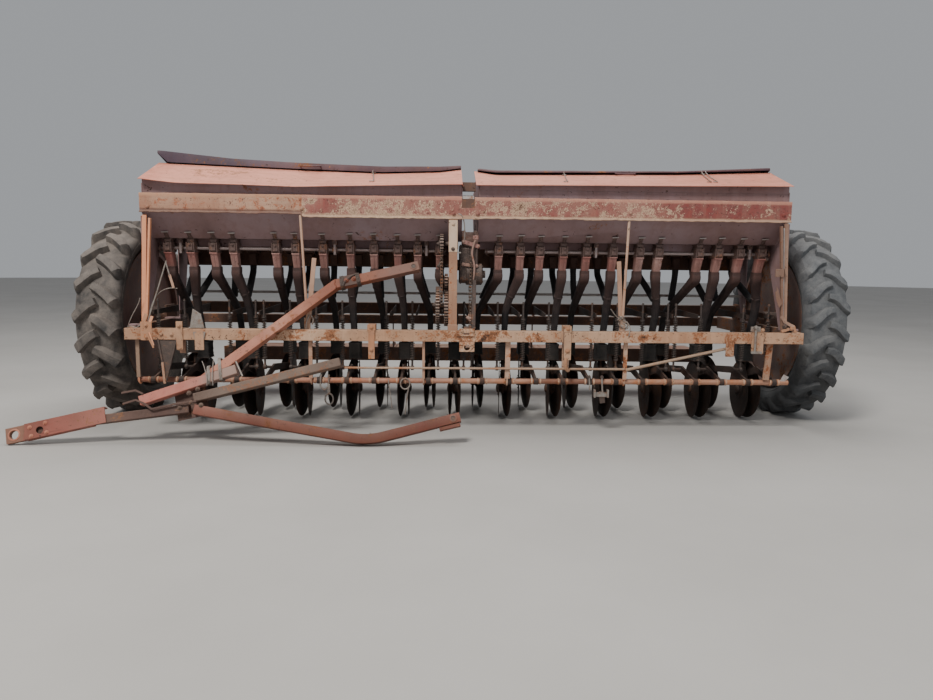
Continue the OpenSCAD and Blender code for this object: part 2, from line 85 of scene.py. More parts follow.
# ------------------------------------------------------------------ materials
class Mat:
    """One procedural material under construction."""

    def __init__(self, name):
        self.m = bpy.data.materials.new(name)
        self.m.use_nodes = True
        self.t = self.m.node_tree
        self.t.nodes.clear()
        self.out = self.t.nodes.new("ShaderNodeOutputMaterial")
        self.p = self.t.nodes.new("ShaderNodeBsdfPrincipled")
        self.t.links.new(self.p.outputs[0], self.out.inputs[0])
        self.tc = self.t.nodes.new("ShaderNodeTexCoord").outputs["Object"]
        self.geo = self.t.nodes.new("ShaderNodeNewGeometry")

    def put(self, socket, v):
        if isinstance(v, bpy.types.NodeSocket):
            self.t.links.new(v, socket)
        elif isinstance(v, tuple) and len(v) == 3 and socket.type == "RGBA":
            socket.default_value = (*v, 1)
        else:
            socket.default_value = v

    def mapping(self, scale, loc=(0, 0, 0), rot=(0, 0, 0)):
        n = self.t.nodes.new("ShaderNodeMapping")
        self.t.links.new(self.tc, n.inputs[0])
        n.inputs["Scale"].default_value = scale
        n.inputs["Location"].default_value = loc
        n.inputs["Rotation"].default_value = rot
        return n.outputs[0]

    def noise(self, scale, detail=6, rough=0.6, dist=0.0, vec=None):
        n = self.t.nodes.new("ShaderNodeTexNoise")
        self.t.links.new(vec or self.tc, n.inputs["Vector"])
        n.inputs["Scale"].default_value = scale
        n.inputs["Detail"].default_value = detail
        n.inputs["Roughness"].default_value = rough
        n.inputs["Distortion"].default_value = dist
        return n.outputs[0]

    def voronoi(self, scale, vec=None, feature="F1"):
        n = self.t.nodes.new("ShaderNodeTexVoronoi")
        n.feature = feature
        self.t.links.new(vec or self.tc, n.inputs["Vector"])
        n.inputs["Scale"].default_value = scale
        return n.outputs[0]

    def rng(self, v, a, b, c=0.0, d=1.0):
        n = self.t.nodes.new("ShaderNodeMapRange")
        n.clamp = True
        self.put(n.inputs[0], v)
        for i, x in zip((1, 2, 3, 4), (a, b, c, d)):
            n.inputs[i].default_value = x
        return n.outputs[0]

    def math(self, op, a, b=0.0, c=0.0, clamp=False):
        n = self.t.nodes.new("ShaderNodeMath")
        n.operation = op
        n.use_clamp = clamp
        self.put(n.inputs[0], a)
        self.put(n.inputs[1], b)
        self.put(n.inputs[2], c)
        return n.outputs[0]

    def mix(self, f, a, b, mode="MIX"):
        n = self.t.nodes.new("ShaderNodeMix")
        n.data_type = "RGBA"
        n.blend_type = mode
        self.put(n.inputs[0], f)
        self.put(n.inputs[6], a)
        self.put(n.inputs[7], b)
        return n.outputs[2]

    def z(self, out="Position", axis=2):
        n = self.t.nodes.new("ShaderNodeSeparateXYZ")
        self.t.links.new(self.tc if out == "Object" else self.geo.outputs[out], n.inputs[0])
        return n.outputs[axis]

    def bump(self, h, strength, dist, base=None):
        n = self.t.nodes.new("ShaderNodeBump")
        n.inputs["Strength"].default_value = strength
        n.inputs["Distance"].default_value = dist
        self.put(n.inputs["Height"], h)
        if base is not None:
            self.t.links.new(base, n.inputs["Normal"])
        return n.outputs[0]

    def bands(self, col, lst):
        """Tint stretches of the object: [(axis, from, to, soft, colour, amount, mode)]."""
        for axis, lo, hi, soft, c, amt, mode in lst:
            t = self.math("ADD", self.z("Object", axis), self.math("MULTIPLY", self.math("SUBTRACT", self.noise(6.0, 5, 0.7), 0.5), soft * 3))
            f = self.math("MULTIPLY", self.rng(t, lo - soft, lo + soft), self.rng(t, hi - soft, hi + soft, amt, 0.0))
            col = self.mix(f, col, c, mode)
        return col

    def done(self, color, rough, normal=None, metal=0.0, spec=0.5):
        self.put(self.p.inputs["Base Color"], color)
        self.put(self.p.inputs["Roughness"], rough)
        self.put(self.p.inputs["Metallic"], metal)
        self.p.inputs["Specular IOR Level"].default_value = spec
        if normal is not None:
            self.t.links.new(normal, self.p.inputs["Normal"])
        return self.m


def paint(name, a, b, faded, rust=(0.20, 0.085, 0.04), dark=(0.06, 0.032, 0.022), cover=0.5, scale=9.0, fade=0.5,
          dust=(0.42, 0.33, 0.26), dusty=0.35, grime=0.4, streaks=0.4, chips=0.35, rough=0.62, bump=0.35, spec=0.35, bands=(), along=0.0, along_c=(0.40, 0.15, 0.095)):
    """Old paint: two shades, sun-faded patches, rust that eats through it, chips, runs, dust on what faces up."""
    k = Mat(name)
    big = k.noise(1.7, 5, 0.55, 0.6)
    mid = k.noise(scale, 9, 0.68, 0.4)
    fine = k.noise(scale * 9, 6, 0.7)
    run = k.noise(1.0, 6, 0.62, 0.3, k.mapping((26, 26, 2.2)))
    col = k.mix(k.rng(mid, 0.36, 0.64), a, b)
    col = k.mix(k.math("MULTIPLY", k.rng(big, 0.5 - fade * 0.3, 0.72 - fade * 0.22), 0.9), col, faded)
    col = k.mix(k.math("MULTIPLY", k.rng(run, 0.48, 0.70), streaks), col, dark if grime > 0.6 else rust)
    if along:
        lines = k.noise(1.0, 7, 0.66, 0.15, k.mapping((1.1, 55, 55), (2, 1, 6)))
        col = k.mix(k.math("MULTIPLY", k.rng(lines, 0.46, 0.68), along), col, along_c)
        col = k.mix(k.math("MULTIPLY", k.rng(k.noise(1.0, 6, 0.62, 0.2, k.mapping((0.8, 34, 34), (7, 3, 1))), 0.52, 0.72), along * 0.7), col, faded)
    # rust patches, with darker hearts
    eat = k.math("ADD", k.math("MULTIPLY", mid, 0.62), k.math("MULTIPLY", fine, 0.38))
    eat = k.math("ADD", eat, k.math("MULTIPLY", k.math("SUBTRACT", big, 0.5), 0.35))
    lo = 0.66 - cover * 0.24
    patch = k.rng(eat, lo, lo + 0.045)
    heart = k.rng(eat, lo + 0.05, lo + 0.13)
    rusty = k.mix(k.rng(fine, 0.35, 0.68), rust, tuple(min(1, c * 1.9) for c in rust))
    rusty = k.mix(heart, rusty, dark)
    col = k.mix(patch, col, rusty)
    chip = k.rng(k.noise(scale * 5.5, 4, 0.55, 1.2, k.mapping((1, 1, 1), (3, 7, 5))), 0.70 - chips * 0.12, 0.72 - chips * 0.12)
    col = k.mix(k.math("MULTIPLY", chip, 0.85), col, dark)
    # grime in broad soft patches, dust on upward faces
    col = k.mix(k.math("MULTIPLY", k.rng(k.noise(4.2, 7, 0.66, 0.2, k.mapping((1, 1, 1), (9, 2, 4))), 0.44, 0.72), grime), col, dark)
    col = k.bands(col, bands)
    upw = k.rng(k.z("Normal"), 0.25, 0.95)
    col = k.mix(k.math("MULTIPLY", k.math("MULTIPLY", upw, k.rng(fine, 0.30, 0.62)), dusty), col, dust)
    h = k.math("SUBTRACT", k.math("MULTIPLY", fine, 0.30), k.math("MULTIPLY", patch, 0.22))
    h = k.math("SUBTRACT", h, k.math("MULTIPLY", chip, 0.25))
    nrm = k.bump(h, bump, 0.004)
    return k.done(col, k.math("ADD", k.math("MULTIPLY", patch, 0.25), rough), nrm, spec=spec)


def iron(name, a, b, hi, rust=(0.22, 0.09, 0.04), cover=0.5, scale=14.0, rough=0.7, metal=0.0, dust=(0.36, 0.29, 0.24), dusty=0.35, bump=0.5, bands=()):
    """Bare iron or steel: dark scale, rust bloom, brighter rubbed spots."""
    k = Mat(name)
    mid = k.noise(scale, 9, 0.68, 0.5)
    fine = k.noise(scale * 10, 6, 0.7)
    big = k.noise(2.4, 4, 0.6)
    col = k.mix(k.rng(mid, 0.35, 0.66), a, b)
    col = k.mix(k.rng(fine, 0.52, 0.78), col, hi)
    bloom = k.rng(k.math("ADD", k.math("MULTIPLY", mid, 0.6), k.math("MULTIPLY", big, 0.4)), 0.60 - cover * 0.2, 0.72 - cover * 0.2)
    col = k.mix(k.math("MULTIPLY", bloom, 0.85), col, k.mix(fine, rust, tuple(min(1, c * 1.7) for c in rust)))
    col = k.bands(col, bands)
    upw = k.rng(k.z("Normal"), 0.2, 0.95)
    col = k.mix(k.math("MULTIPLY", k.math("MULTIPLY", upw, k.rng(fine, 0.3, 0.6)), dusty), col, dust)
    nrm = k.bump(k.math("ADD", fine, k.math("MULTIPLY", mid, 0.6)), bump, 0.003)
    return k.done(col, k.math("ADD", k.math("MULTIPLY", bloom, 0.2), rough), nrm, metal=metal)


def rubber(name, a, b, dust, dusty=0.6, rough=0.75, scale=22.0, top=None, bands=()):
    """Old rubber: greyed, dusty, with fine cracks. top=(colour, z from, z to) browns the upper part."""
    k = Mat(name)
    mid = k.noise(scale, 8, 0.66, 0.3)
    fine = k.noise(scale * 8, 5, 0.7)
    big = k.noise(3.0, 4, 0.6)
    crack = k.rng(k.voronoi(scale * 4, feature="DISTANCE_TO_EDGE"), 0.0, 0.05, 1, 0)
    col = k.mix(k.rng(mid, 0.35, 0.66), a, b)
    w = k.math("MULTIPLY", k.rng(k.math("ADD", k.math("MULTIPLY", big, 0.55), k.math("MULTIPLY", mid, 0.45)), 0.40, 0.66), dusty)
    col = k.mix(w, col, dust)
    if top:
        t = k.math("MULTIPLY", k.rng(k.z("Object"), top[1], top[2]), k.rng(mid, 0.25, 0.6, 0.5, 1.0))
        col = k.mix(t, col, top[0])
    col = k.mix(k.math("MULTIPLY", crack, 0.35), col, tuple(c * 0.35 for c in a))
    col = k.bands(col, bands)
    upw = k.rng(k.z("Normal"), 0.2, 0.95)
    col = k.mix(k.math("MULTIPLY", upw, 0.4 * dusty), col, dust)
    nrm = k.bump(k.math("SUBTRACT", k.math("MULTIPLY", fine, 0.6), k.math("MULTIPLY", crack, 0.3)), 0.35, 0.003)
    return k.done(col, k.rng(mid, 0.3, 0.7, rough - 0.1, rough + 0.15), nrm, spec=0.3)


MUL, MX = "MULTIPLY", "MIX"
M_ROOF = paint("roof_paint", (0.64, 0.225, 0.155), (0.52, 0.160, 0.110), (0.72, 0.305, 0.225), cover=0.26, scale=6, fade=0.7, streaks=0.3, chips=0.22,
               grime=0.14, dusty=0.22, dust=(0.70, 0.38, 0.28), rough=0.66, bump=0.2, along=0.55)
# Lid sheet: dark purplish, partly its oxidised paint and partly painted shade for a lid seen in shadow; the band over
# the left lid multiplies in a bluish painted shade.
M_LID_PAINT_AND_SHADE = paint("lid_paint", (0.070, 0.038, 0.052), (0.105, 0.048, 0.054), (0.17, 0.105, 0.115), cover=0.35, scale=7, fade=0.4, streaks=0.2, dusty=0.22, dust=(0.31, 0.205, 0.185),
              bands=[(0, -1.95, -1.05, 0.15, (0.58, 0.74, 0.94), 0.9, MUL)])
M_BELT = paint("belt_paint", (0.27, 0.060, 0.052), (0.20, 0.082, 0.075), (0.40, 0.21, 0.165), rust=(0.42, 0.29, 0.20), dark=(0.10, 0.045, 0.035), cover=0.66, scale=19,
               fade=0.45, streaks=0.25, chips=0.7, grime=0.22, rough=0.7, bump=0.6, spec=0.25,
               bands=[(2, 1.277, 1.30, 0.004, (0.62, 0.30, 0.22), 0.75, MX), (2, 1.10, 1.196, 0.005, (0.60, 0.43, 0.29), 0.55, MX)])
# Left belt: its lower lip (z 1.10 to 1.212) is near-black, partly dark rust and partly painted shadow under the lip.
M_BELT2 = paint("belt_paint_left", (0.44, 0.235, 0.150), (0.36, 0.165, 0.110), (0.52, 0.34, 0.24), rust=(0.30, 0.110, 0.060), dark=(0.12, 0.060, 0.048), cover=0.50, scale=15,
                fade=0.45, streaks=0.3, chips=0.6, grime=0.28, rough=0.7, bump=0.6, spec=0.25, along=0.3, along_c=(0.34, 0.13, 0.08),
                bands=[(2, 1.277, 1.30, 0.004, (0.60, 0.33, 0.21), 0.7, MX), (2, 1.10, 1.212, 0.006, (0.15, 0.078, 0.062), 0.85, MX)])
# Hopper sheet: mauve-grey with a bluish faded tone, partly faded paint and partly painted shade of the front wall and
# underside beneath the roof's overhang.
M_HOP_PAINT_AND_SHADE = paint("hopper_paint", (0.282, 0.178, 0.172), (0.234, 0.143, 0.138), (0.33, 0.240, 0.255), rust=(0.17, 0.08, 0.05), cover=0.25, scale=5, fade=0.5, streaks=0.25, chips=0.15,
              grime=0.25, dusty=0.3, rough=0.72, bump=0.25, spec=0.25)
M_INNER = paint("hopper_inner", (0.30, 0.13, 0.10), (0.22, 0.11, 0.085), (0.36, 0.24, 0.18), cover=0.6, scale=7, fade=0.4, streaks=0.35, dusty=0.5)
M_BEAM = paint("beam_paint", (0.53, 0.305, 0.185), (0.40, 0.210, 0.120), (0.61, 0.405, 0.275), rust=(0.26, 0.105, 0.048), cover=0.54, scale=11, fade=0.5, streaks=0.34,
               chips=0.6, grime=0.32, rough=0.66, bump=0.4,
               bands=[(0, -1.90, -1.55, 0.05, (0.55, 0.42, 0.36), 0.5, MUL), (0, 0.9, 1.9, 0.2, (1.0, 0.95, 0.92), 0.6, MUL)])
M_POST = paint("post_paint", (0.42, 0.22, 0.145), (0.48, 0.28, 0.19), (0.55, 0.38, 0.28), rust=(0.30, 0.11, 0.045), cover=0.42, scale=13, fade=0.5, streaks=0.25,
               chips=0.35, grime=0.2, rough=0.62, bump=0.35,
               bands=[(0, -1.85, -1.60, 0.03, (0.98, 0.38, 0.18), 0.6, MX), (0, 1.60, 1.85, 0.03, (0.40, 0.38, 0.40), 0.8, MUL),
                      (0, -0.10, 0.04, 0.01, (0.74, 0.66, 0.60), 0.9, MUL)])
M_CPOST = paint("centre_post_paint", (0.44, 0.33, 0.24), (0.36, 0.25, 0.18), (0.55, 0.46, 0.36), rust=(0.28, 0.12, 0.06), cover=0.42, scale=14, fade=0.5, chips=0.35, grime=0.25,
                bands=[(2, 0.4, 0.99, 0.012, (0.72, 0.42, 0.33), 0.8, MUL)])
M_CREAM = paint("bleached_paint", (0.62, 0.44, 0.31), (0.56, 0.37, 0.25), (0.68, 0.52, 0.39), rust=(0.34, 0.17, 0.09), cover=0.34, scale=16, fade=0.5, streaks=0.25,
                chips=0.25, grime=0.12, rough=0.62)
M_HANG = paint("hanger_paint", (0.42, 0.22, 0.145), (0.48, 0.28, 0.19), (0.55, 0.38, 0.28), rust=(0.30, 0.11, 0.045), cover=0.48, scale=13, fade=0.5, streaks=0.3,
               chips=0.4, grime=0.25, rough=0.62, bump=0.35,
               bands=[(0, -1.95, -1.60, 0.03, (0.235, 0.165, 0.120), 0.72, MX), (0, 1.60, 1.90, 0.03, (0.62, 0.54, 0.48), 0.8, MUL)])
M_FRAME = paint("frame_steel", (0.085, 0.044, 0.034), (0.12, 0.060, 0.044), (0.18, 0.115, 0.09), cover=0.5, scale=10, fade=0.4, grime=0.5, rough=0.72)
M_UNIT = paint("metering_paint", (0.34, 0.122, 0.102), (0.26, 0.110, 0.096), (0.43, 0.275, 0.245), rust=(0.15, 0.065, 0.042), cover=0.42, scale=20, fade=0.5, grime=0.35, rough=0.64, bump=0.5)
M_UNITD = iron("metering_iron", (0.085, 0.050, 0.043), (0.14, 0.085, 0.072), (0.27, 0.20, 0.18), cover=0.4, scale=24)
M_SHAFT = iron("bare_shaft", (0.28, 0.215, 0.205), (0.35, 0.28, 0.27), (0.52, 0.46, 0.43), cover=0.25, scale=20, rough=0.42, metal=0.45, dusty=0.25)
M_GEAR = iron("drive_steel", (0.055, 0.038, 0.033), (0.10, 0.068, 0.057), (0.28, 0.21, 0.18), cover=0.35, scale=26, rough=0.58, metal=0.25)
M_TEETH = iron("tooth_tips", (0.40, 0.30, 0.25), (0.30, 0.21, 0.17), (0.56, 0.47, 0.41), cover=0.35, scale=34, rough=0.5, metal=0.3, dusty=0.1)
M_TAN = paint("drive_tan", (0.36, 0.22, 0.18), (0.28, 0.15, 0.12), (0.46, 0.32, 0.27), cover=0.45, scale=22, fade=0.5, chips=0.4, grime=0.3)
M_IRON = iron("opener_steel", (0.030, 0.020, 0.017), (0.050, 0.032, 0.026), (0.105, 0.068, 0.053), rust=(0.088, 0.038, 0.021), cover=0.5, scale=16, rough=0.78, dust=(0.20, 0.15, 0.125))
# Disc steel: nearly black, partly dark rust and partly painted shade for discs that stand in the shadow under the
# machine.
M_DISC = iron("disc_steel", (0.034, 0.021, 0.017), (0.023, 0.016, 0.014), (0.078, 0.052, 0.040), rust=(0.066, 0.030, 0.018), cover=0.5, scale=9, rough=0.7, metal=0.1, dust=(0.18, 0.13, 0.11))
M_BAR = iron("hinge_bar", (0.46, 0.235, 0.15), (0.38, 0.19, 0.125), (0.56, 0.36, 0.26), rust=(0.36, 0.13, 0.05), cover=0.5, scale=15, rough=0.58, metal=0.05, dusty=0.2,
             bands=[(0, -1.9, -0.05, 0.06, (0.92, 0.78, 0.82), 0.6, MUL), (0, 0.42, 0.82, 0.03, (0.42, 0.34, 0.33), 0.85, MUL), (0, -1.9, -1.45, 0.05, (0.5, 0.42, 0.4), 0.8, MUL)])
M_ROD = iron("pale_rod", (0.38, 0.245, 0.165), (0.46, 0.33, 0.235), (0.58, 0.47, 0.37), rust=(0.30, 0.12, 0.05), cover=0.5, scale=18, rough=0.55, metal=0.1, dusty=0.2)
M_SPRING = iron("spring_steel", (0.050, 0.038, 0.036), (0.075, 0.058, 0.052), (0.21, 0.165, 0.14), cover=0.35, scale=30, rough=0.62, metal=0.2)
M_BOARD = paint("board_paint", (0.40, 0.145, 0.085), (0.34, 0.12, 0.075), (0.44, 0.24, 0.165), cover=0.5, scale=8, fade=0.5, streaks=0.3, dusty=0.6, grime=0.3)
M_HEAD = paint("hitch_red", (0.29, 0.070, 0.052), (0.235, 0.062, 0.047), (0.34, 0.14, 0.105), rust=(0.17, 0.070, 0.035), cover=0.42, scale=12, fade=0.45, streaks=0.1,
               chips=0.4, grime=0.35, dusty=0.25, rough=0.58, bump=0.4,
               bands=[(0, -2.6, -2.172, 0.004, (0.23, 0.125, 0.082), 0.72, MX), (0, -2.172, -2.06, 0.02, (0.72, 0.66, 0.60), 0.6, MUL)])
M_DRED = paint("drawbar_red", (0.48, 0.155, 0.098), (0.40, 0.125, 0.080), (0.54, 0.26, 0.18), rust=(0.25, 0.10, 0.045), cover=0.42, scale=12, fade=0.45, streaks=0.1,
               chips=0.4, grime=0.28, dusty=0.3, rough=0.58, bump=0.4, bands=[(0, -1.05, 0.0, 0.25, (0.66, 0.54, 0.49), 0.85, MUL), (0, -0.80, 0.1, 0.08, (0.72, 0.66, 0.54), 0.9, MUL), (0, -0.40, 0.1, 0.05, (0.165, 0.108, 0.090), 0.6, MX)])
# Lower drawbar arm: the drawbar's red darkened to about half, painted shade for an arm that lies in shadow.
M_DLOW = paint("drawbar_low", (0.21, 0.058, 0.041), (0.18, 0.066, 0.045), (0.25, 0.108, 0.072), rust=(0.17, 0.068, 0.032), cover=0.46, scale=12, fade=0.45, streaks=0.1,
               chips=0.4, grime=0.32, dusty=0.16, rough=0.6, bump=0.4, bands=[(0, -1.15, 0.0, 0.1, (0.68, 0.56, 0.48), 0.8, MUL)])
M_DBROWN = paint("drawbar_brown", (0.085, 0.042, 0.034), (0.066, 0.034, 0.028), (0.14, 0.082, 0.064), rust=(0.15, 0.07, 0.035), cover=0.46, scale=12, fade=0.45, streaks=0.1,
                 chips=0.35, grime=0.3, dusty=0.3, rough=0.66)
M_DGREY = paint("drawbar_grey", (0.128, 0.082, 0.064), (0.102, 0.058, 0.044), (0.185, 0.135, 0.106), rust=(0.18, 0.085, 0.05), cover=0.42, scale=12, fade=0.5, streaks=0.1,
                chips=0.35, grime=0.35, dusty=0.22, rough=0.7)
M_STUB = paint("stub_paint", (0.50, 0.165, 0.125), (0.42, 0.125, 0.095), (0.55, 0.28, 0.22), rust=(0.25, 0.11, 0.06), cover=0.36, scale=12, fade=0.5, streaks=0.1,
               chips=0.35, grime=0.2, dusty=0.3, rough=0.6, bands=[(0, -1.30, 0.0, 0.03, (0.27, 0.20, 0.165), 0.8, MX)])
M_RIM = paint("rim_paint", (0.110, 0.050, 0.044), (0.14, 0.070, 0.060), (0.21, 0.15, 0.13), cover=0.45, scale=9, grime=0.45, dusty=0.4)
M_ORANGE = paint("strap_orange", (0.50, 0.21, 0.10), (0.40, 0.19, 0.11), (0.50, 0.30, 0.19), rust=(0.30, 0.10, 0.03), cover=0.4, scale=16, chips=0.3, grime=0.2)
M_WIRE = iron("wire", (0.34, 0.31, 0.28), (0.24, 0.19, 0.16), (0.55, 0.52, 0.48), cover=0.4, scale=40, rough=0.5, metal=0.5, dusty=0.1)
M_DWIRE = iron("dark_wire", (0.075, 0.055, 0.048), (0.12, 0.085, 0.070), (0.24, 0.19, 0.16), cover=0.4, scale=40, rough=0.6, metal=0.2, dusty=0.1)
M_TUBE = rubber("tube_rubber", (0.024, 0.024, 0.027), (0.040, 0.038, 0.040), (0.115, 0.085, 0.075), dusty=0.45, top=((0.080, 0.042, 0.036), 0.62, 0.88))
M_HOSE = rubber("hose_rubber", (0.019, 0.020, 0.023), (0.033, 0.034, 0.038), (0.095, 0.082, 0.076), dusty=0.4)
M_PALE = iron("pale_steel", (0.46, 0.42, 0.40), (0.36, 0.31, 0.29), (0.62, 0.58, 0.54), cover=0.3, scale=30, rough=0.5, metal=0.1, dusty=0.3)
M_BOOT = rubber("boot_rubber", (0.020, 0.019, 0.019), (0.034, 0.031, 0.030), (0.09, 0.07, 0.058), dusty=0.5)
# Tyres: blue-grey rubber tones, partly painted shade with a bluish sky cast; each band darkens the tyre's lower part as
# painted shadow near the ground.
M_TYRE_L = rubber("tyre_left", (0.059, 0.055, 0.054), (0.106, 0.097, 0.092), (0.262, 0.222, 0.192), dusty=0.85, scale=16, bands=[(2, -0.1, 0.30, 0.10, (0.55, 0.52, 0.50), 0.8, MUL)])
M_TYRE_R = rubber("tyre_right", (0.080, 0.087, 0.096), (0.132, 0.141, 0.150), (0.245, 0.236, 0.225), dusty=0.5, scale=16, bands=[(2, -0.1, 0.42, 0.12, (0.45, 0.45, 0.46), 0.9, MUL)])
M_CHAIN = iron("chain_steel", (0.06, 0.042, 0.035), (0.10, 0.07, 0.055), (0.36, 0.27, 0.20), cover=0.45, scale=40, rough=0.55, metal=0.35)


# ------------------------------------------------------------------ mesh building
def V(*a):
    return np.array(a, float)


def unit(v):
    return v / np.linalg.norm(v)


def frame_of(d):
    """Two unit vectors square to d."""
    d = unit(d)
    a = V(0, 0, 1) if abs(d[2]) < 0.9 else V(1, 0, 0)
    u = unit(np.cross(a, d))
    return u, np.cross(d, u)


CORNERS = [(x, y, z) for x in (-1, 1) for y in (-1, 1) for z in (-1, 1)]


def _chamfer_faces():
    idx = {c: i for i, c in enumerate(CORNERS)}
    pts = np.array([[(c[0], c[1] * .9, c[2] * .9), (c[0] * .9, c[1], c[2] * .9), (c[0] * .9, c[1] * .9, c[2])] for c in CORNERS]).reshape(-1, 3)
    faces = []
    for ax in range(3):
        o = [i for i in range(3) if i != ax]
        for s in (-1, 1):
            f = []
            for a, b in ((-1, -1), (1, -1), (1, 1), (-1, 1)):
                c = [0, 0, 0]
                c[ax], c[o[0]], c[o[1]] = s, a, b
                f.append(idx[tuple(c)] * 3 + ax)
            faces.append(f)
        for a in (-1, 1):
            for b in (-1, 1):
                c0, c1 = [0, 0, 0], [0, 0, 0]
                c0[o[0]] = c1[o[0]] = a
                c0[o[1]] = c1[o[1]] = b
                c0[ax], c1[ax] = -1, 1
                i0, i1 = idx[tuple(c0)] * 3, idx[tuple(c1)] * 3
                faces.append([i0 + o[0], i1 + o[0], i1 + o[1], i0 + o[1]])
    for i in range(8):
        faces.append([i * 3, i * 3 + 1, i * 3 + 2])
    out = []
    for f in faces:
        p = pts[f]
        n = np.cross(p[1] - p[0], p[2] - p[1])
        out.append(tuple(f) if n @ p.mean(0) > 0 else tuple(f[::-1]))
    return out


CH_FACES = _chamfer_faces()


class Build:
    def __init__(self):
        self.v, self.f, self.mi, self.n = [], [], [], 0

    def add(self, verts, faces, mat=0):
        verts = np.asarray(verts, float).reshape(-1, 3)
        self.v.append(verts)
        o = self.n
        self.f.extend(tuple(i + o for i in f) for f in faces)
        self.mi.extend([mat] * len(faces))
        self.n += len(verts)

    def box(self, lo, hi, c=0.0015, mat=0, T=None):
        lo, hi = np.minimum(lo, hi).astype(float), np.maximum(lo, hi).astype(float)
        mid, h = (lo + hi) / 2, (hi - lo) / 2
        c = min(c, h.min() * 0.49)
        pts = []
        for s in CORNERS:
            s = np.array(s)
            for ax in range(3):
                p = s * (h - c)
                p[ax] = s[ax] * h[ax]
                pts.append(p)
        pts = np.array(pts) + mid
        if T is not None:
            pts = pts @ T[0].T + T[1]
        self.add(pts, CH_FACES, mat)

    def bar(self, p, q, w, d, side=None, c=0.0015, mat=0):
        """Rectangular bar from p to q: w across along side, d along the third axis."""
        p, q = np.asarray(p, float), np.asarray(q, float)
        a = unit(q - p)
        s = frame_of(a)[0] if side is None else unit(np.asarray(side, float) - a * (np.asarray(side, float) @ a))
        t = np.cross(a, s)
        R = np.stack([a, s, t], 1)
        L = np.linalg.norm(q - p)
        self.box((-L / 2, -w / 2, -d / 2), (L / 2, w / 2, d / 2), c, mat, (R, (p + q) / 2))

    def rings(self, rings, closed_ring=True, caps=True, mat=0, loop=False):
        """Skin over a list of equal rings, each an array of points."""
        n = len(rings[0])
        k = len(rings)
        v = np.concatenate(rings)
        f = []
        for i in range(k if loop else k - 1):
            a, b = i * n, ((i + 1) % k) * n
            for j in range(n if closed_ring else n - 1):
                j2 = (j + 1) % n
                f.append((a + j, a + j2, b + j2, b + j))
        if caps and not loop:
            f.append(tuple(range(n))[::-1])
            f.append(tuple((k - 1) * n + j for j in range(n)))
        self.add(v, f, mat)

    def lathe(self, o, axis, prof, seg=24, mat=0, caps=True, loop=False, turn=0.0):
        """prof: [(radius, distance along axis)]."""
        o, axis = np.asarray(o, float), unit(np.asarray(axis, float))
        u, w = frame_of(axis)
        t = np.arange(seg) / seg * 2 * PI + turn
        circ = np.outer(np.cos(t), u) + np.outer(np.sin(t), w)
        self.rings([o + axis * h + circ * max(r, 1e-5) for r, h in prof], caps=caps, mat=mat, loop=loop)

    def cyl(self, p, q, r, seg=16, mat=0, c=0.001, r2=None):
        p, q = np.asarray(p, float), np.asarray(q, float)
        L = np.linalg.norm(q - p)
        r2 = r if r2 is None else r2
        c = min(c, r * 0.4, r2 * 0.4, L * 0.4)
        self.lathe(p, q - p, [(r - c, 0), (r, c), (r2, L - c), (r2 - c, L)], seg, mat)

    def sweep(self, pts, r, seg=10, mat=0, closed=False, shape=None, side=None):
        """Tube or bar along points; r a number or one per point; shape an [n,2] outline scaled by r."""
        pts = np.asarray(pts, float)
        n = len(pts)
        rr = np.full(n, r) if np.isscalar(r) else np.asarray(r, float)
        if closed:
            d = np.roll(pts, -1, 0) - np.roll(pts, 1, 0)
        else:
            d = np.gradient(pts, axis=0)
        d /= np.linalg.norm(d, axis=1)[:, None]
        u = frame_of(d[0])[0] if side is None else unit(np.asarray(side, float) - d[0] * (np.asarray(side, float) @ d[0]))
        if shape is None:
            t = np.arange(seg) / seg * 2 * PI
            shape = np.stack([np.cos(t), np.sin(t)], 1)
        rings = []
        for i in range(n):
            u = unit(u - d[i] * (u @ d[i]))
            w = np.cross(d[i], u)
            s = shape if not callable(shape) else shape(i / (n - 1))
            rings.append(pts[i] + rr[i] * (np.outer(s[:, 0], u) + np.outer(s[:, 1], w)))
        self.rings(rings, mat=mat, loop=closed)

    def prism(self, poly, to3, t0, t1, c=0.001, mat=0):
        """Outline poly [n,2] made solid from t0 to t1; to3(a, b, t) gives a point. Ends are chamfered."""
        p = np.asarray(poly, float)
        area2 = np.sum(p[:, 0] * np.roll(p[:, 1], -1) - np.roll(p[:, 0], -1) * p[:, 1])
        if area2 < 0:
            p = p[::-1]
        a = np.roll(p, 1, 0)
        b = np.roll(p, -1, 0)
        d1 = (p - a) / np.linalg.norm(p - a, axis=1)[:, None]
        d2 = (b - p) / np.linalg.norm(b - p, axis=1)[:, None]
        n1, n2 = np.stack([-d1[:, 1], d1[:, 0]], 1), np.stack([-d2[:, 1], d2[:, 0]], 1)
        mm = n1 + n2
        mm /= np.maximum(np.sum(mm * n1, 1), 0.35)[:, None]
        q = p + mm * c
        lay = [(q, t0), (p, t0 + c), (p, t1 - c), (q, t1)]
        rings = [np.array([to3(x, y, t) for x, y in s]) for s, t in lay]
        o = rings[0].mean(0)
        e = [np.array(to3(0, 0, 0)), np.array(to3(1, 0, 0)), np.array(to3(0, 1, 0)), np.array(to3(0, 0, 1))]
        if np.linalg.det(np.stack([e[1] - e[0], e[2] - e[0], e[3] - e[0]])) < 0:
            rings = rings[::-1]
        self.rings(rings, mat=mat)

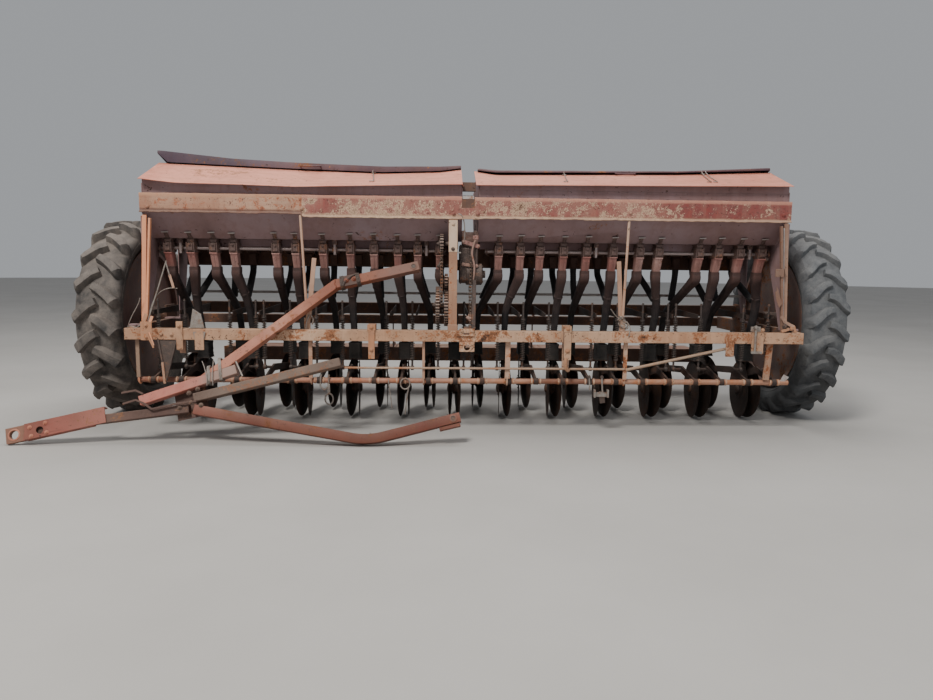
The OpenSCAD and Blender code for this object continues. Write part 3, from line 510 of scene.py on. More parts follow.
    def bolt(self, p, axis, s=0.009, h=0.007, mat=0, washer=True, stub=0.004):
        """Hexagon head or nut on a washer; s is half its width."""
        p, a = np.asarray(p, float), unit(np.asarray(axis, float))
        if washer:
            self.lathe(p, a, [(s * 1.45, 0), (s * 1.5, 0.0004), (s * 1.45, 0.002)], 14, mat)
        self.lathe(p, a, [(s * 1.08, 0.0015), (s * 1.13, 0.002), (s * 1.13, h), (s * 0.95, h + 0.0015)], 6, mat, turn=(p[0] * 37) % 1)
        if stub:
            self.lathe(p, a, [(s * 0.55, h), (s * 0.55, h + stub), (s * 0.45, h + stub + 0.001)], 10, mat)

    def sheet(self, fn, nu, nv, th, mat=0, mat2=None):
        """Sheet over fn(u, v), th thick on the side of its normal du x dv, closed round its rim."""
        U, W = np.meshgrid(np.linspace(0, 1, nu + 1), np.linspace(0, 1, nv + 1), indexing="ij")
        P = np.array([[fn(U[i, j], W[i, j]) for j in range(nv + 1)] for i in range(nu + 1)], float)
        du = np.gradient(P, axis=0)
        dv = np.gradient(P, axis=1)
        nn = np.cross(du, dv)
        nn /= np.linalg.norm(nn, axis=2)[:, :, None] + 1e-12
        Q = P + nn * th
        a = P.reshape(-1, 3)
        b = Q.reshape(-1, 3)
        w = nv + 1
        top, bot, rim = [], [], []
        K = len(a)
        for i in range(nu):
            for j in range(nv):
                q = (i * w + j, (i + 1) * w + j, (i + 1) * w + j + 1, i * w + j + 1)
                bot.append(q[::-1])
                top.append(tuple(x + K for x in q))
        edge = [(i * w, (i + 1) * w) for i in range(nu)] + [(nu * w + j, nu * w + j + 1) for j in range(nv)]
        edge += [((i + 1) * w + nv, i * w + nv) for i in range(nu - 1, -1, -1)] + [(j + 1, j) for j in range(nv - 1, -1, -1)]
        for x, y in edge:
            rim.append((x, y, y + K, x + K))
        o = self.n
        self.add(np.concatenate([a, b]), bot + top + rim, mat)
        if mat2 is not None:
            base = len(self.mi) - len(bot) - len(top) - len(rim)
            for i in range(len(bot)):
                self.mi[base + i] = mat2

    def obj(self, name, body, mats, slot=None, replaces=(), angle=32):
        v = np.concatenate(self.v) + OFF
        me = bpy.data.meshes.new(name)
        me.from_pydata(v.tolist(), [], self.f)
        mats = mats if isinstance(mats, (list, tuple)) else [mats]
        for x in mats:
            me.materials.append(x)
        me.polygons.foreach_set("material_index", self.mi)
        me.update()
        me.shade_smooth()
        me.set_sharp_from_angle(angle=math.radians(angle))
        o = bpy.data.objects.new(name, me)
        bpy.context.scene.collection.objects.link(o)
        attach(o, body)
        if replaces:
            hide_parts(*replaces)
        return o


def cad(node, mat, bevel=0.0015, seg=2):
    """A CAD node keeps its shape: joined corners, a small bevel, its own material."""
    o = N[node]
    o.data.materials.clear()
    o.data.materials.append(mat)
    w = o.modifiers.new("weld", "WELD")
    w.merge_threshold = 0.00002
    if bevel:
        b = o.modifiers.new("bevel", "BEVEL")
        b.width = bevel
        b.segments = seg
        b.limit_method = "ANGLE"
        b.angle_limit = math.radians(40)
        b.use_clamp_overlap = True
    return o


def smooth(pts, k=8):
    """Points on a Catmull-Rom curve through pts, k a stretch."""
    p = [np.asarray(x, float) for x in pts]
    p = [2 * p[0] - p[1]] + p + [2 * p[-1] - p[-2]]
    out = []
    for i in range(1, len(p) - 2):
        for j in range(k):
            t = j / k
            a, b, c, d = p[i - 1], p[i], p[i + 1], p[i + 2]
            out.append(0.5 * ((2 * b) + (-a + c) * t + (2 * a - 5 * b + 4 * c - d) * t * t + (-a + 3 * b - 3 * c + d) * t ** 3))
    out.append(p[-2])
    return np.array(out)


def nz(x, y, z, s=1.0):
    return noise.noise(Vector((x * s, y * s, z * s)))


def rect_shape(a, b, rnd, n=6):
    """Outline of a rounded rectangle, half sizes a and b."""
    out = []
    for cx, cy, t0 in ((a - rnd, b - rnd, 0), (-a + rnd, b - rnd, 90), (-a + rnd, -b + rnd, 180), (a - rnd, -b + rnd, 270)):
        for i in range(n):
            t = math.radians(t0 + 90 * i / (n - 1))
            out.append((cx + rnd * math.cos(t), cy + rnd * math.sin(t)))
    return np.array(out)


# ------------------------------------------------------------------ floor
def make_floor():
    me = bpy.data.meshes.new("floor")
    R = 40
    t = [i / 96 * 2 * PI for i in range(96)]
    me.from_pydata([(R * math.cos(a), R * math.sin(a), 0) for a in t], [], [tuple(range(96))])
    o = bpy.data.objects.new("floor", me)
    bpy.context.scene.collection.objects.link(o)
    k = Mat("floor")
    me.materials.append(k.done(k.mix(k.rng(k.noise(0.8, 5, 0.6), 0.3, 0.7), (0.42, 0.405, 0.385), (0.47, 0.455, 0.435)), 0.9, spec=0.2))


make_floor()

# ------------------------------------------------------------------ tables shared with the CAD
PITCH = 0.150
UNITS = [(0.167, -1), (0.290, -1), (0.402, -1), (0.536, -1), (0.668, 1), (0.820, 1), (0.972, 1), (1.082, 1), (1.315, -1), (1.425, -1), (1.550, 1), (1.675, 1)]
RANKS = [(0.060, 0.0, 0.630, 0.048, 0.136), (-0.200, -0.320, 0.690, -0.212, 0.094)]
ROWS = []
for k_ in range(24):
    hf = 11 - k_ if k_ < 12 else k_ - 12
    sd = -1 if k_ < 12 else 1
    ROWS.append(dict(k=k_, x=(k_ - 11.5) * PITCH, side=sd, ux=sd * UNITS[hf][0], rod=sd * UNITS[hf][1], rank=RANKS[k_ % 2]))
OPEN_Y, OPEN_Z, ROD_Y, ROD_Z, LIFT_Y, LIFT_Z = -0.600, 0.290, -0.380, 0.330, 0.170, 0.645
METER_Y, METER_Z = -0.432, 1.008


# ------------------------------------------------------------------ wheels
def tyre(side, mat, worn):
    cx = side * 2.055
    b = Build()
    R, W = 0.590, 0.125
    lug = 0.038 if not worn else 0.029
    # carcass profile, [radius, distance from the middle], inside round to inside
    half = [(0.4056, 0.074), (0.420, 0.0815), (0.434, 0.088), (0.446, 0.104), (0.462, 0.1150), (0.482, 0.1215), (0.500, 0.1224), (0.516, 0.1200), (0.529, 0.1130),
            (R - lug - 0.013, 0.100), (R - lug - 0.006, 0.077), (R - lug - 0.002, 0.047), (R - lug, 0.016)]
    prof = [(r, -w) for r, w in half] + [(r, w) for r, w in half[::-1]]
    b.lathe((cx, 0, 0.590), (1, 0, 0), prof, 120, 0, caps=False, loop=True)
    # raised rings on the sidewall
    for s in (-1, 1):
        for r, w, h in ((0.452, 0.1085, 0.003), (0.496, 0.1221, 0.0022)):
            b.lathe((cx, 0, 0.590), (1, 0, 0), [(r - h, s * (w - 0.004)), (r - h * 0.5, s * (w + h * 0.6)), (r + h * 0.5, s * (w + h * 0.6)), (r + h, s * (w - 0.004))], 120, 0, caps=False, loop=True)
    # lugs
    n = 23 if worn else 20
    rnd = random.Random(5 + side)

    def surf(x, th, h):
        """Point on the tread: x across, th round from the front rising, h above the carcass crown."""
        ax = abs(x)
        base = np.interp(ax, [0, 0.047, 0.077, 0.100, 0.1130, 0.1200, 0.1224], [R - lug, R - lug - 0.002, R - lug - 0.006, R - lug - 0.013, 0.529, 0.516, 0.500])
        r = base + h
        return V(cx + x, -r * math.cos(th), 0.590 + r * math.sin(th))

    for i in range(n):
        for s in (-1, 1):
            th0 = (i + (0.5 if s > 0 else 0)) / n * 2 * PI + 0.05
            jit = rnd.uniform(-0.008, 0.008)
            path = [(-0.012, 0.168), (0.024, 0.134), (0.055, 0.093), (0.084, 0.050), (0.104, 0.016), (0.117, -0.006)]
            if worn:
                path = [(-0.012, 0.140), (0.020, 0.128), (0.050, 0.096), (0.082, 0.040), (0.104, 0.012), (0.117, 0.000)]
            top, steps = [], 0
            rings = []
            for q, (xx, dt) in enumerate(path):
                wd = np.interp(q, [0, 1, 4, 5], [0.0215, 0.0235, 0.0285, 0.0295] if not worn else [0.0175, 0.020, 0.0245, 0.0255])
                ht = np.interp(q, [0, 1, 3, 4, 5], [lug * 0.93, lug, lug, lug + 0.008, 0.034])
                th = th0 + dt + jit
                # direction of the lug on the tread, for its width
                nx = path[min(q + 1, 5)][0] - path[max(q - 1, 0)][0]
                nt = (path[min(q + 1, 5)][1] - path[max(q - 1, 0)][1]) * 0.57
                L = math.hypot(nx, nt)
                px, pt = -nt / L, nx / L
                ring = []
                wear = 1.0 if not worn else 0.94
                for a, hh in ((-1.32, -0.006), (-1.0, ht * 0.62), (-0.80, ht * wear), (-0.4, ht * wear + 0.0012), (0.4, ht * wear + 0.0012), (0.80, ht * wear), (1.0, ht * 0.62), (1.32, -0.006)):
                    x_ = xx + px * wd * a
                    t_ = th + pt * wd * a / 0.57
                    x_ = min(x_, 0.1215)
                    ring.append(surf(s * x_, t_, hh) if x_ > 0 or True else None)
                rings.append(np.array(ring if s > 0 else ring[::-1]))
            # foot on the sidewall
            last = []
            for a, hh in ((-1.32, -0.002), (-1.0, 0.001), (-0.80, 0.0024), (-0.4, 0.0028), (0.4, 0.0028), (0.80, 0.0024), (1.0, 0.001), (1.32, -0.002)):
                th = th0 - 0.030 + jit + 0.026 * a / 0.5
                last.append(V(cx + s * (0.1218 + hh), -0.490 * math.cos(th), 0.590 + 0.490 * math.sin(th)))
            rings.append(np.array(last if s > 0 else last[::-1]))
            b.rings(rings, mat=0)
    v = np.concatenate(b.v)
    # slight unevenness of old rubber
    for i, p in enumerate(v):
        d = p - V(cx, 0, 0.590)
        rad = math.hypot(d[1], d[2])
        if rad > 0.45:
            k = 1 - 0.0016 * (0.5 + 0.5 * nz(*p, 9.0)) / rad * 1.0
            v[i] = V(p[0] + 0.0012 * nz(*p, 14.0), d[1] * k, 0.590 + d[2] * k)
    lim = 0.5899
    rr = np.hypot(v[:, 1], v[:, 2] - 0.590)
    f_ = np.minimum(1, lim / np.maximum(rr, 1e-6))
    v[:, 1] *= f_
    v[:, 2] = 0.590 + (v[:, 2] - 0.590) * f_
    b.v = [v]
    name = "left" if side < 0 else "right"
    return b.obj(f"tyre_rubber_{name}", f"wheel_{name}", mat, "tyre_rubber", (f"tyre_{name}",), angle=38)


tyre(-1, M_TYRE_L, False)
tyre(1, M_TYRE_R, True)


def wheel_trim(side):
    """Nuts, hub flange, ribs and valve of the wheel disc."""
    name = "left" if side < 0 else "right"
    cx = side * 2.055
    b = Build()
    for i in range(8):
        a = i / 8 * 2 * PI + 0.2
        r = 0.047
        for s_, w in ((1, 0.056), (-1, 0.132)):
            p = V(cx + side * s_ * w, r * math.cos(a), 0.590 + r * math.sin(a))
            b.bolt(p, (side * s_, 0, 0), 0.0065, 0.006)
    for i in range(8):
        a = i / 8 * 2 * PI
        p = V(cx - side * 0.0505, 0.25 * math.cos(a), 0.590 + 0.25 * math.sin(a))
        b.bolt(p + V(side * 0.004, 0, 0), (side, 0, 0), 0.011, 0.009)
    # flange round the hub with its wheel bolts
    b.lathe((cx, 0, 0.590), (side, 0, 0), [(0.0622, -0.040), (0.122, -0.040), (0.122, -0.0225), (0.116, -0.0180), (0.0622, -0.0140)], 48, 0, caps=False, loop=True)
    for i in range(6):
        a = i / 6 * 2 * PI + 0.3
        b.bolt((cx - side * 0.0175, 0.094 * math.cos(a), 0.590 + 0.094 * math.sin(a)), (side, 0, 0), 0.0125, 0.012, 1)
    # ribs of the disc
    for i in range(4):
        a = (i + 0.5) / 4 * 2 * PI
        u = V(0, math.cos(a), math.sin(a))
        b.bar(V(cx - side * 0.046, 0, 0.590) + u * 0.30, V(cx - side * 0.056, 0, 0.590) + u * 0.352, 0.05, 0.006, side=np.cross(V(1, 0, 0), u))
    b.cyl(V(cx - side * 0.050, 0.31, 0.590), V(cx - side * 0.012, 0.318, 0.590), 0.005, 10)
    b.obj(f"wheel_nuts_{name}", f"wheel_{name}", [M_RIM, M_UNITD], "rim_paint")
    cad(f"rim_{name}", M_RIM, 0.002)


for s_ in (-1, 1):
    wheel_trim(s_)

# ------------------------------------------------------------------ plain CAD nodes with their finish
for n_, m_, b_ in (("front_beam", M_BEAM, 0.003), ("side_rails", M_FRAME, 0.002), ("rear_beam", M_FRAME, 0.003), ("axles", M_FRAME, 0.002), ("side_plates", M_HOP_PAINT_AND_SHADE, 0.001),
                   ("front_posts", M_POST, 0.0015), ("stay_rods", M_POST, 0.0012), ("centre_bridge", M_FRAME, 0.0015), ("hopper_left", M_HOP_PAINT_AND_SHADE, 0.0006),
                   ("hopper_right", M_HOP_PAINT_AND_SHADE, 0.0006), ("lid_hinges", M_LID_PAINT_AND_SHADE, 0.001), ("metering_shafts", M_SHAFT, 0.0), ("hinge_bars", M_BAR, 0.0),
                   ("bar_hangers", M_HANG, 0.0015), ("beam_brackets", M_BEAM, 0.0015), ("thin_rods", M_ROD, 0.0), ("lift_shaft", M_FRAME, 0.003), ("lift_arms", M_IRON, 0.0012),
                   ("lift_bearings", M_FRAME, 0.0015), ("link_rod", M_PALE, 0.0), ("leashes", M_IRON, 0.0015), ("footboard_brackets", M_FRAME, 0.001),
                   ("hitch_head", M_HEAD, 0.0015), ("drawbar_arm_upper", M_DRED, 0.004), ("drawbar_centre_bar", M_DGREY, 0.004),
                   ("drawbar_neck", M_DBROWN, 0.003), ("drawbar_straps", M_DBROWN, 0.001), ("drawbar_stub", M_STUB, 0.004)):
    cad(n_, m_, b_)


# ------------------------------------------------------------------ roofs, lids, belts
def soft(x, xs, zs, w=0.05):
    """Height along a table of stations, its corners rounded off."""
    return float(np.mean([np.interp(x + d, xs, zs) for d in (-w, -w / 2, 0, w / 2, w)]))


ROOF_L = ([-1.755, -1.566, -1.230, -0.930, -0.500, -0.170, -0.048], [1.3635, 1.343, 1.3385, 1.332, 1.3445, 1.354, 1.3575], [1.484, 1.479, 1.4665, 1.456, 1.445, 1.457, 1.475])
ROOF_R = ([0.028, 0.150, 1.200, 1.755], [1.355, 1.356, 1.366, 1.372], [1.466, 1.446, 1.463, 1.4835])


def roof_point(side, x, t):
    """Top of the front roof sheet: t from 0 at the eave to 1 at the ridge."""
    xs, ze, zr = ROOF_L if side < 0 else ROOF_R
    a, b = soft(x, xs, ze, 0.03), soft(x, xs, zr, 0.03)
    return V(x, -0.628 + 0.298 * t, a + (b - a) * t + 0.003)


def roof(side):
    x0, x1 = (-1.757, -0.046) if side < 0 else (0.028, 1.757)
    b = Build()

    def f(u, v):
        x = x0 + (x1 - x0) * u
        if v > 0.965:
            q = roof_point(side, x, 1.0)
            return q + V(0, 0.012 * (v - 0.965) / 0.035, -0.0025)
        t = v / 0.965
        q = roof_point(side, x, t)
        dent = 0.0020 * nz(x, q[1] * 2, 3, 2.6) + 0.0008 * nz(x, q[1], 7, 11.0) + 0.0012 * nz(x, q[1] * 0.6, 1, 6.0)
        q[2] += -0.0025 + dent * min(1, (1 - t) * 5) * (0.35 + 0.65 * min(1, t * 8))
        if t < 0.04:
            q[1] += 0.001 * nz(x, 1, 2, 9.0)
        return q

    b.sheet(f, 120, 26, 0.0022)
    if side < 0:
        # gable end by the middle gap, its lower corner curled
        for i in range(8):
            t0, t1 = 0.04 + i * 0.118, 0.04 + (i + 1) * 0.118
            q0, q1 = roof_point(side, -0.0475, t0), roof_point(side, -0.0475, t1)
            d0, d1 = 0.010 + 0.040 * min(1, t0 * 2.5), 0.010 + 0.040 * min(1, t1 * 2.5)
            c0, c1 = 0.008 * max(0, 1 - t0 * 2.4) ** 2, 0.008 * max(0, 1 - t1 * 2.4) ** 2
            b.add([q0 - V(0, 0, .002), q1 - V(0, 0, .002), q1 - V(-c1, 0, d1), q0 - V(-c0, 0, d0),
                   q0 + V(.0014, 0, -.002), q1 + V(.0014, 0, -.002), q1 - V(-c1 - .0014, 0, d1), q0 - V(-c0 - .0014, 0, d0)],
                  [(0, 1, 2, 3), (7, 6, 5, 4), (3, 2, 6, 7), (0, 4, 5, 1), (0, 3, 7, 4), (1, 5, 6, 2)])
    b.obj("roof_sheet_" + ("left" if side < 0 else "right"), "chassis", M_ROOF, "roof_paint", ("roof_left" if side < 0 else "roof_right",), angle=28)


roof(-1)
roof(1)


def lid(side):
    x0, x1 = (-1.755, -0.048) if side < 0 else (0.048, 1.745)
    xs = [-1.755, -1.70, -1.35, -1.0, -0.5, -0.17, -0.048] if side < 0 else [0.048, 0.15, 1.2, 1.745]
    zs = [1.5505, 1.5455, 1.512, 1.495, 1.481, 1.485, 1.493] if side < 0 else [1.478, 1.469, 1.480, 1.507]
    lows = [1.535, 1.486, 1.473, 1.461, 1.449, 1.461, 1.478] if side < 0 else [1.467, 1.457, 1.471, 1.493]
    b = Build()

    def front_z(x):
        return soft(x, xs, zs, 0.03) + 0.0008 * nz(x, 0, 9, 5.0)

    def f(u, v):
        x = x0 + (x1 - x0) * u
        fz = front_z(x)
        lip = fz - float(np.interp(x, xs, lows)) - 0.0015
        if v < 0.08:
            t = v / 0.08
            return V(x, -0.3525, fz - lip * (1 - t) + 0.0006 * nz(x, 2, 2, 20.0))
        t = (v - 0.08) / 0.92
        y = -0.3515 + t * 0.509
        z = fz + (1.4045 - fz) * t
        # pressed cross ribs and a soft crown
        rib = 0.0
        for c in np.linspace(x0 + 0.2, x1 - 0.2, 5):
            rib = max(rib, 1 - abs(x - c) / 0.016)
        z += 0.0035 * max(0, rib) * min(1, t * 9) * min(1, (1 - t) * 9)
        z += 0.003 * math.sin(PI * t) * math.sin(PI * u) + 0.0016 * nz(x, y, 4, 2.2) * min(1, t * 6) * min(1, (1 - t) * 10)
        return V(x, y, z)

    b.sheet(f, 130, 24, 0.0024)
    # side lips
    for x in (x0, x1 - 0.0024):
        def g(u, v, x=x):
            fz = front_z(x)
            y = -0.3515 + u * 0.485
            return V(x, y, fz + (1.4045 - fz) * (u * 0.953) - (1 - v) * (0.016 - 0.006 * u))
        b.sheet(g, 30, 2, -0.0024 if False else 0.0024)
    # grip on the front lip
    for c in ((x0 + x1) / 2,):
        z = front_z(c) - 0.012
        b.sweep(smooth([V(c - 0.055, -0.353, z), V(c - 0.052, -0.372, z - 0.004), V(c, -0.377, z - 0.006), V(c + 0.052, -0.372, z - 0.004), V(c + 0.055, -0.353, z)], 6), 0.004, 8)
    # hinge knuckles and their straps
    for c in (0.2, 0.9, 1.6):
        for s in (-1, 1):
            cc = side * c + s * 0.030
            b.lathe((cc - 0.014, 0.170, 1.400), (1, 0, 0), [(0.0046, 0), (0.0078, 0), (0.008, 0.0006), (0.008, 0.0274), (0.0078, 0.028), (0.0046, 0.028)], 20, 0, caps=False, loop=True)
            b.box((cc - 0.014, 0.108, 1.4052), (cc + 0.014, 0.168, 1.4085), 0.0008)
            for y in (0.118, 0.140):
                b.lathe((cc, y, 1.4083), (0, 0, 1), [(0.005, 0), (0.0045, 0.0015), (0.002, 0.0025)], 10)
    nm = "left" if side < 0 else "right"
    b.obj(f"lid_sheet_{nm}", f"lid_{nm}", M_LID_PAINT_AND_SHADE, "lid_paint", (f"lid_{nm}",), angle=30)


lid(-1)
lid(1)


def belt(side):
    x0, x1 = (-1.763, -0.048) if side < 0 else (0.022, 1.763)
    b = Build()

    def f(u, v):
        x = x0 + (x1 - x0) * u
        wob = 0.0014 * nz(x, 0, 1, 7.0) + 0.001 * nz(x, 0, 5, 23.0)
        ft = 1.178 if side > 0 else 1.190 - 0.016 * min(1, max(0, (x + 0.915) / 0.02))
        pts = [(0.0, -0.5955, 1.2905), (0.05, -0.6010, 1.2918), (0.09, -0.6045, 1.2900), (0.13, -0.6048, 1.2845), (0.18, -0.6030, 1.2790), (0.72, -0.6030, ft + 0.020),
               (0.78, -0.6015, ft + 0.0150), (0.84, -0.6040, ft + 0.0105), (0.92, -0.6085, ft + 0.0065), (1.0, -0.6135, ft + 0.0020)]
        y = float(np.interp(v, [p[0] for p in pts], [p[1] for p in pts]))
        z = float(np.interp(v, [p[0] for p in pts], [p[2] for p in pts]))
        ragged = (0.0030 * nz(x, 2, 2, 8.0) + 0.0035 * nz(x, 8, 2, 31.0)) * max(0, (v - 0.86) / 0.14)
        bend = 0.004 * math.exp(-((x + 0.09) / 0.05) ** 2) if side < 0 else 0.0
        return V(x, y + wob * 0.8 - ragged * 0.6, z + wob + ragged + bend * (1 - v))

    b.sheet(f, 190, 22, -0.003)
    # rivets
    xs = np.arange(x0 + 0.04, x1, 0.128)
    for i, x in enumerate(xs):
        b.lathe((x, -0.6035, 1.270 - 0.002 * (i % 2)), (0, -1, 0), [(0.0065, 0), (0.006, 0.0018), (0.003, 0.003)], 10)
    for x in ((-1.72, -0.906, -0.10) if side < 0 else (0.07, 0.870, 1.72)):
        b.bolt((x, -0.6042, 1.222), (0, -1, 0), 0.009, 0.006, stub=0.003)
    nm = "left" if side < 0 else "right"
    o = b.obj(f"belt_angle_{nm}", "chassis", [M_BELT, M_BELT2], "belt_paint", (f"belt_{nm}",), angle=40)
    for f_ in o.data.polygons:
        if f_.center.x < -0.905 + OFF[0]:
            f_.material_index = 1


belt(-1)
belt(1)


# hooks of wire over the front roofs, and details on the hoppers
def hopper_trim():
    b = Build()
    for x, d in ((-0.548, 0.020), (0.541, -0.009), (1.340, -0.012), (1.362, 0.0)):
        sd = -1 if x < 0 else 1
        a, c_, e = roof_point(sd, x, 0.86), roof_point(sd, x + d * 0.6, 0.55), roof_point(sd, x + d, 0.27)
        b.sweep(smooth([a + V(0, 0.014, 0.024), a + V(0, 0.004, 0.022), a + V(0, -0.006, 0.012), c_ + V(0, 0, 0.008), e + V(0, 0, 0.006), e + V(-0.004, -0.006, 0.004),
                        e + V(-0.024, -0.008, 0.003)], 6), 0.0026, 8)
    for x in (-0.545, 0.545, 1.350):
        sd = -1 if x < 0 else 1
        a = roof_point(sd, x, 0.93)
        b.box(a + V(-0.012, -0.010, 0.001), a + V(0.012, 0.006, 0.005), 0.0008)
    b.obj("lid_hooks", "chassis", M_WIRE, "bare_shaft")
    b = Build()
    for sgn in (-1, 1):
        # gate handles on the underside above each metering unit: a stem with a pale cross bar
        for ux, _ in UNITS:
            x = sgn * ux + 0.003 * nz(ux * 9, sgn, 2, 1.7)
            sl = V(0, 0.7071, -0.7071)
            o = V(0, -0.7071, -0.7071)
            p = V(x, -0.4965, 1.0985)
            hh = 0.006 * nz(ux * 5, sgn, 7, 2.3)
            b.bar(p + sl * (0.050) + o * 0.002, p - sl * (0.002 + hh) + o * 0.006, 0.021, 0.005, side=(1, 0, 0), c=0.001, mat=1)
            b.bar(p + V(-0.019, 0, 0) - sl * (0.002 + hh) + o * 0.010, p + V(0.019, 0, 0.002) - sl * (0.002 + hh) + o * 0.010, 0.006, 0.006, side=sl, c=0.0015, mat=2)
            b.bolt(p + sl * 0.030 + o * 0.004, o, 0.006, 0.005, mat=1)
        # seams, rivets and stiffeners of the sheet
        for z, y in ((1.302, -0.5815), (1.332, -0.5815)):
            for x in np.arange(0.09, 1.74, 0.11):
                b.lathe((sgn * x, y + 0.001, z), (0, -1, 0), [(0.005, 0), (0.0045, 0.0015), (0.002, 0.0025)], 8)
        for x in np.arange(0.10, 1.74, 0.1325):
            b.lathe((sgn * x, 0.149, 1.375), (0, 1, 0), [(0.006, 0), (0.0055, 0.0018), (0.003, 0.003)], 8)
            b.lathe((sgn * x, 0.149, 1.250), (0, 1, 0), [(0.006, 0), (0.0055, 0.0018), (0.003, 0.003)], 8)
        for x in (0.09, 0.50, 0.92, 1.33, 1.71):
            b.bar(V(sgn * x, 0.1515, 1.386), V(sgn * x, 0.1515, 1.234), 0.035, 0.004, side=(1, 0, 0), c=0.001)
        b.bar(V(sgn * 0.055, 0.153, 1.384), V(sgn * 1.750, 0.153, 1.384), 0.004, 0.014, side=(0, 1, 0), c=0.001)
        # turned-down strip from the roof's underside to the top of the front wall
        def skirt(u, v, sgn=sgn):
            x = sgn * 0.051 + (sgn * 1.7525 - sgn * 0.051) * (u if sgn > 0 else 1 - u)
            top = roof_point(sgn, x, 0.152)[2] - 0.0045
            return V(x, -0.5822 + 0.0006 * nz(x, 3, 3, 6.0), 1.338 + (top - 1.338) * v)
        b.sheet(skirt, 60, 3, 0.0018)
        # flanges at the ends
        for x in (0.0475, 1.7555):
            pts = [(-0.580, 1.346), (-0.580, 1.290), (-0.595, 1.290), (-0.595, 1.199), (-0.461, 1.064), (-0.386, 1.064), (-0.236, 1.180), (-0.091, 1.094), (-0.001, 1.094), (0.149, 1.231), (0.149, 1.390)]
            b.sweep([V(sgn * x, y, z) for y, z in pts], 0.0035, 6)
    b.obj("hopper_trim", "chassis", [M_HOP_PAINT_AND_SHADE, M_UNITD, M_PALE], "hopper_paint")


hopper_trim()


# ------------------------------------------------------------------ metering
def metering(side):
    b = Build()
    for ux, _ in UNITS:
        x = side * ux
        j = nz(x, 5, 5, 3.0)
        X = lambda a, b_, t, x=x: (x + t, a, b_)
        # bracket up to the hopper's bottom
        b.box((x - 0.0175, -0.468, 1.0405), (x + 0.0175, -0.401, 1.0615), 0.002, 1)
        b.box((x - 0.022, -0.468, 1.056), (x + 0.022, -0.400, 1.0615), 0.0015, 1)
        # cast body: cheeks, roller housing, cup
        b.prism([(-0.478, 1.040), (-0.478, 1.010), (-0.470, 0.985), (-0.396, 0.985), (-0.392, 1.000), (-0.392, 1.032), (-0.400, 1.040)], X, -0.023, -0.0155, 0.0015, 1)
        b.prism([(-0.478, 1.040), (-0.478, 1.010), (-0.470, 0.985), (-0.396, 0.985), (-0.392, 1.000), (-0.392, 1.032), (-0.400, 1.040)], X, 0.0155, 0.023, 0.0015, 1)
        b.box((x - 0.0165, -0.474, 0.988), (x + 0.0165, -0.395, 1.0385), 0.004, 1)
        for s in (-1, 1):
            o = V(x + s * 0.0225, METER_Y, METER_Z)
            b.lathe(o, (s, 0, 0), [(0.0107, 0.0), (0.021, 0.0), (0.0215, 0.003), (0.0175, 0.0045), (0.0107, 0.0045)], 20, 1, caps=False, loop=True)
        # clamp over the front
        b.box((x - 0.014, -0.4795, 0.996), (x + 0.014, -0.4765, 1.034), 0.001, 1)
        b.bolt((x + 0.006 * j, -0.4795, 1.026), (0, -1, 0), 0.006, 0.005, 1, stub=0.004)
        # spout: hopper-shaped box with a lip and a seam
        top, bot = 0.984, 0.901
        rings = []
        for z, hw, y0, y1 in ((top, 0.0200, -0.472, -0.412), (top - 0.006, 0.0208, -0.4700, -0.4095), (0.950, 0.0208, -0.4565, -0.4015), (0.915, 0.0200, -0.4410, -0.3905), (bot + 0.003, 0.0198, -0.4350, -0.3870), (bot, 0.0180, -0.4335, -0.3885)):
            yc, hy = (y0 + y1) / 2, (y1 - y0) / 2
            s_ = rect_shape(hw, hy, 0.005, 4)
            rings.append(np.array([V(x + p[0], yc + p[1], z) for p in s_])[::-1])
        b.rings(rings, mat=0)
        b.box((x - 0.0220, -0.4745, 0.9775), (x + 0.0220, -0.4105, 0.9845), 0.0012, 0)
        b.bar((x, -0.4690, 0.974), (x, -0.4385, 0.908), 0.003, 0.003, side=(1, 0, 0), c=0.0006, mat=0)
        for zz in (0.958,):
            b.lathe((x + 0.011, -0.4590, zz), (0, -1, -0.35), [(0.0045, 0), (0.004, 0.0018), (0.002, 0.0026)], 8, 0)
            b.lathe((x - 0.011, -0.4590, zz), (0, -1, -0.35), [(0.0045, 0), (0.004, 0.0018), (0.002, 0.0026)], 8, 0)
    # strip behind them, with a rolled lower edge and its screws
    xa, xb = sorted((side * 0.062, side * 1.740))
    b.box((xa, -0.3915, 1.0235), (xb, -0.3888, 1.0618), 0.0006, 2)
    b.sweep([V(xa + (xb - xa) * t, -0.3905 + 0.0006 * nz(t * 9, 1, side, 2.0), 1.0232 + 0.0008 * nz(t * 11, 4, side, 2.0)) for t in np.linspace(0, 1, 60)], 0.0022, 8, 2)
    for x in np.arange(xa + 0.06, xb, 0.155):
        b.lathe((x, -0.3913, 1.045), (0, -1, 0), [(0.005, 0), (0.0045, 0.0015), (0.002, 0.0025)], 8, 2)
    nm = "left" if side < 0 else "right"
    b.obj(f"metering_units_{nm}", "chassis", [M_UNIT, M_UNITD, M_HOP_PAINT_AND_SHADE], "metering_paint", (f"metering_{nm}",))


metering(-1)
metering(1)


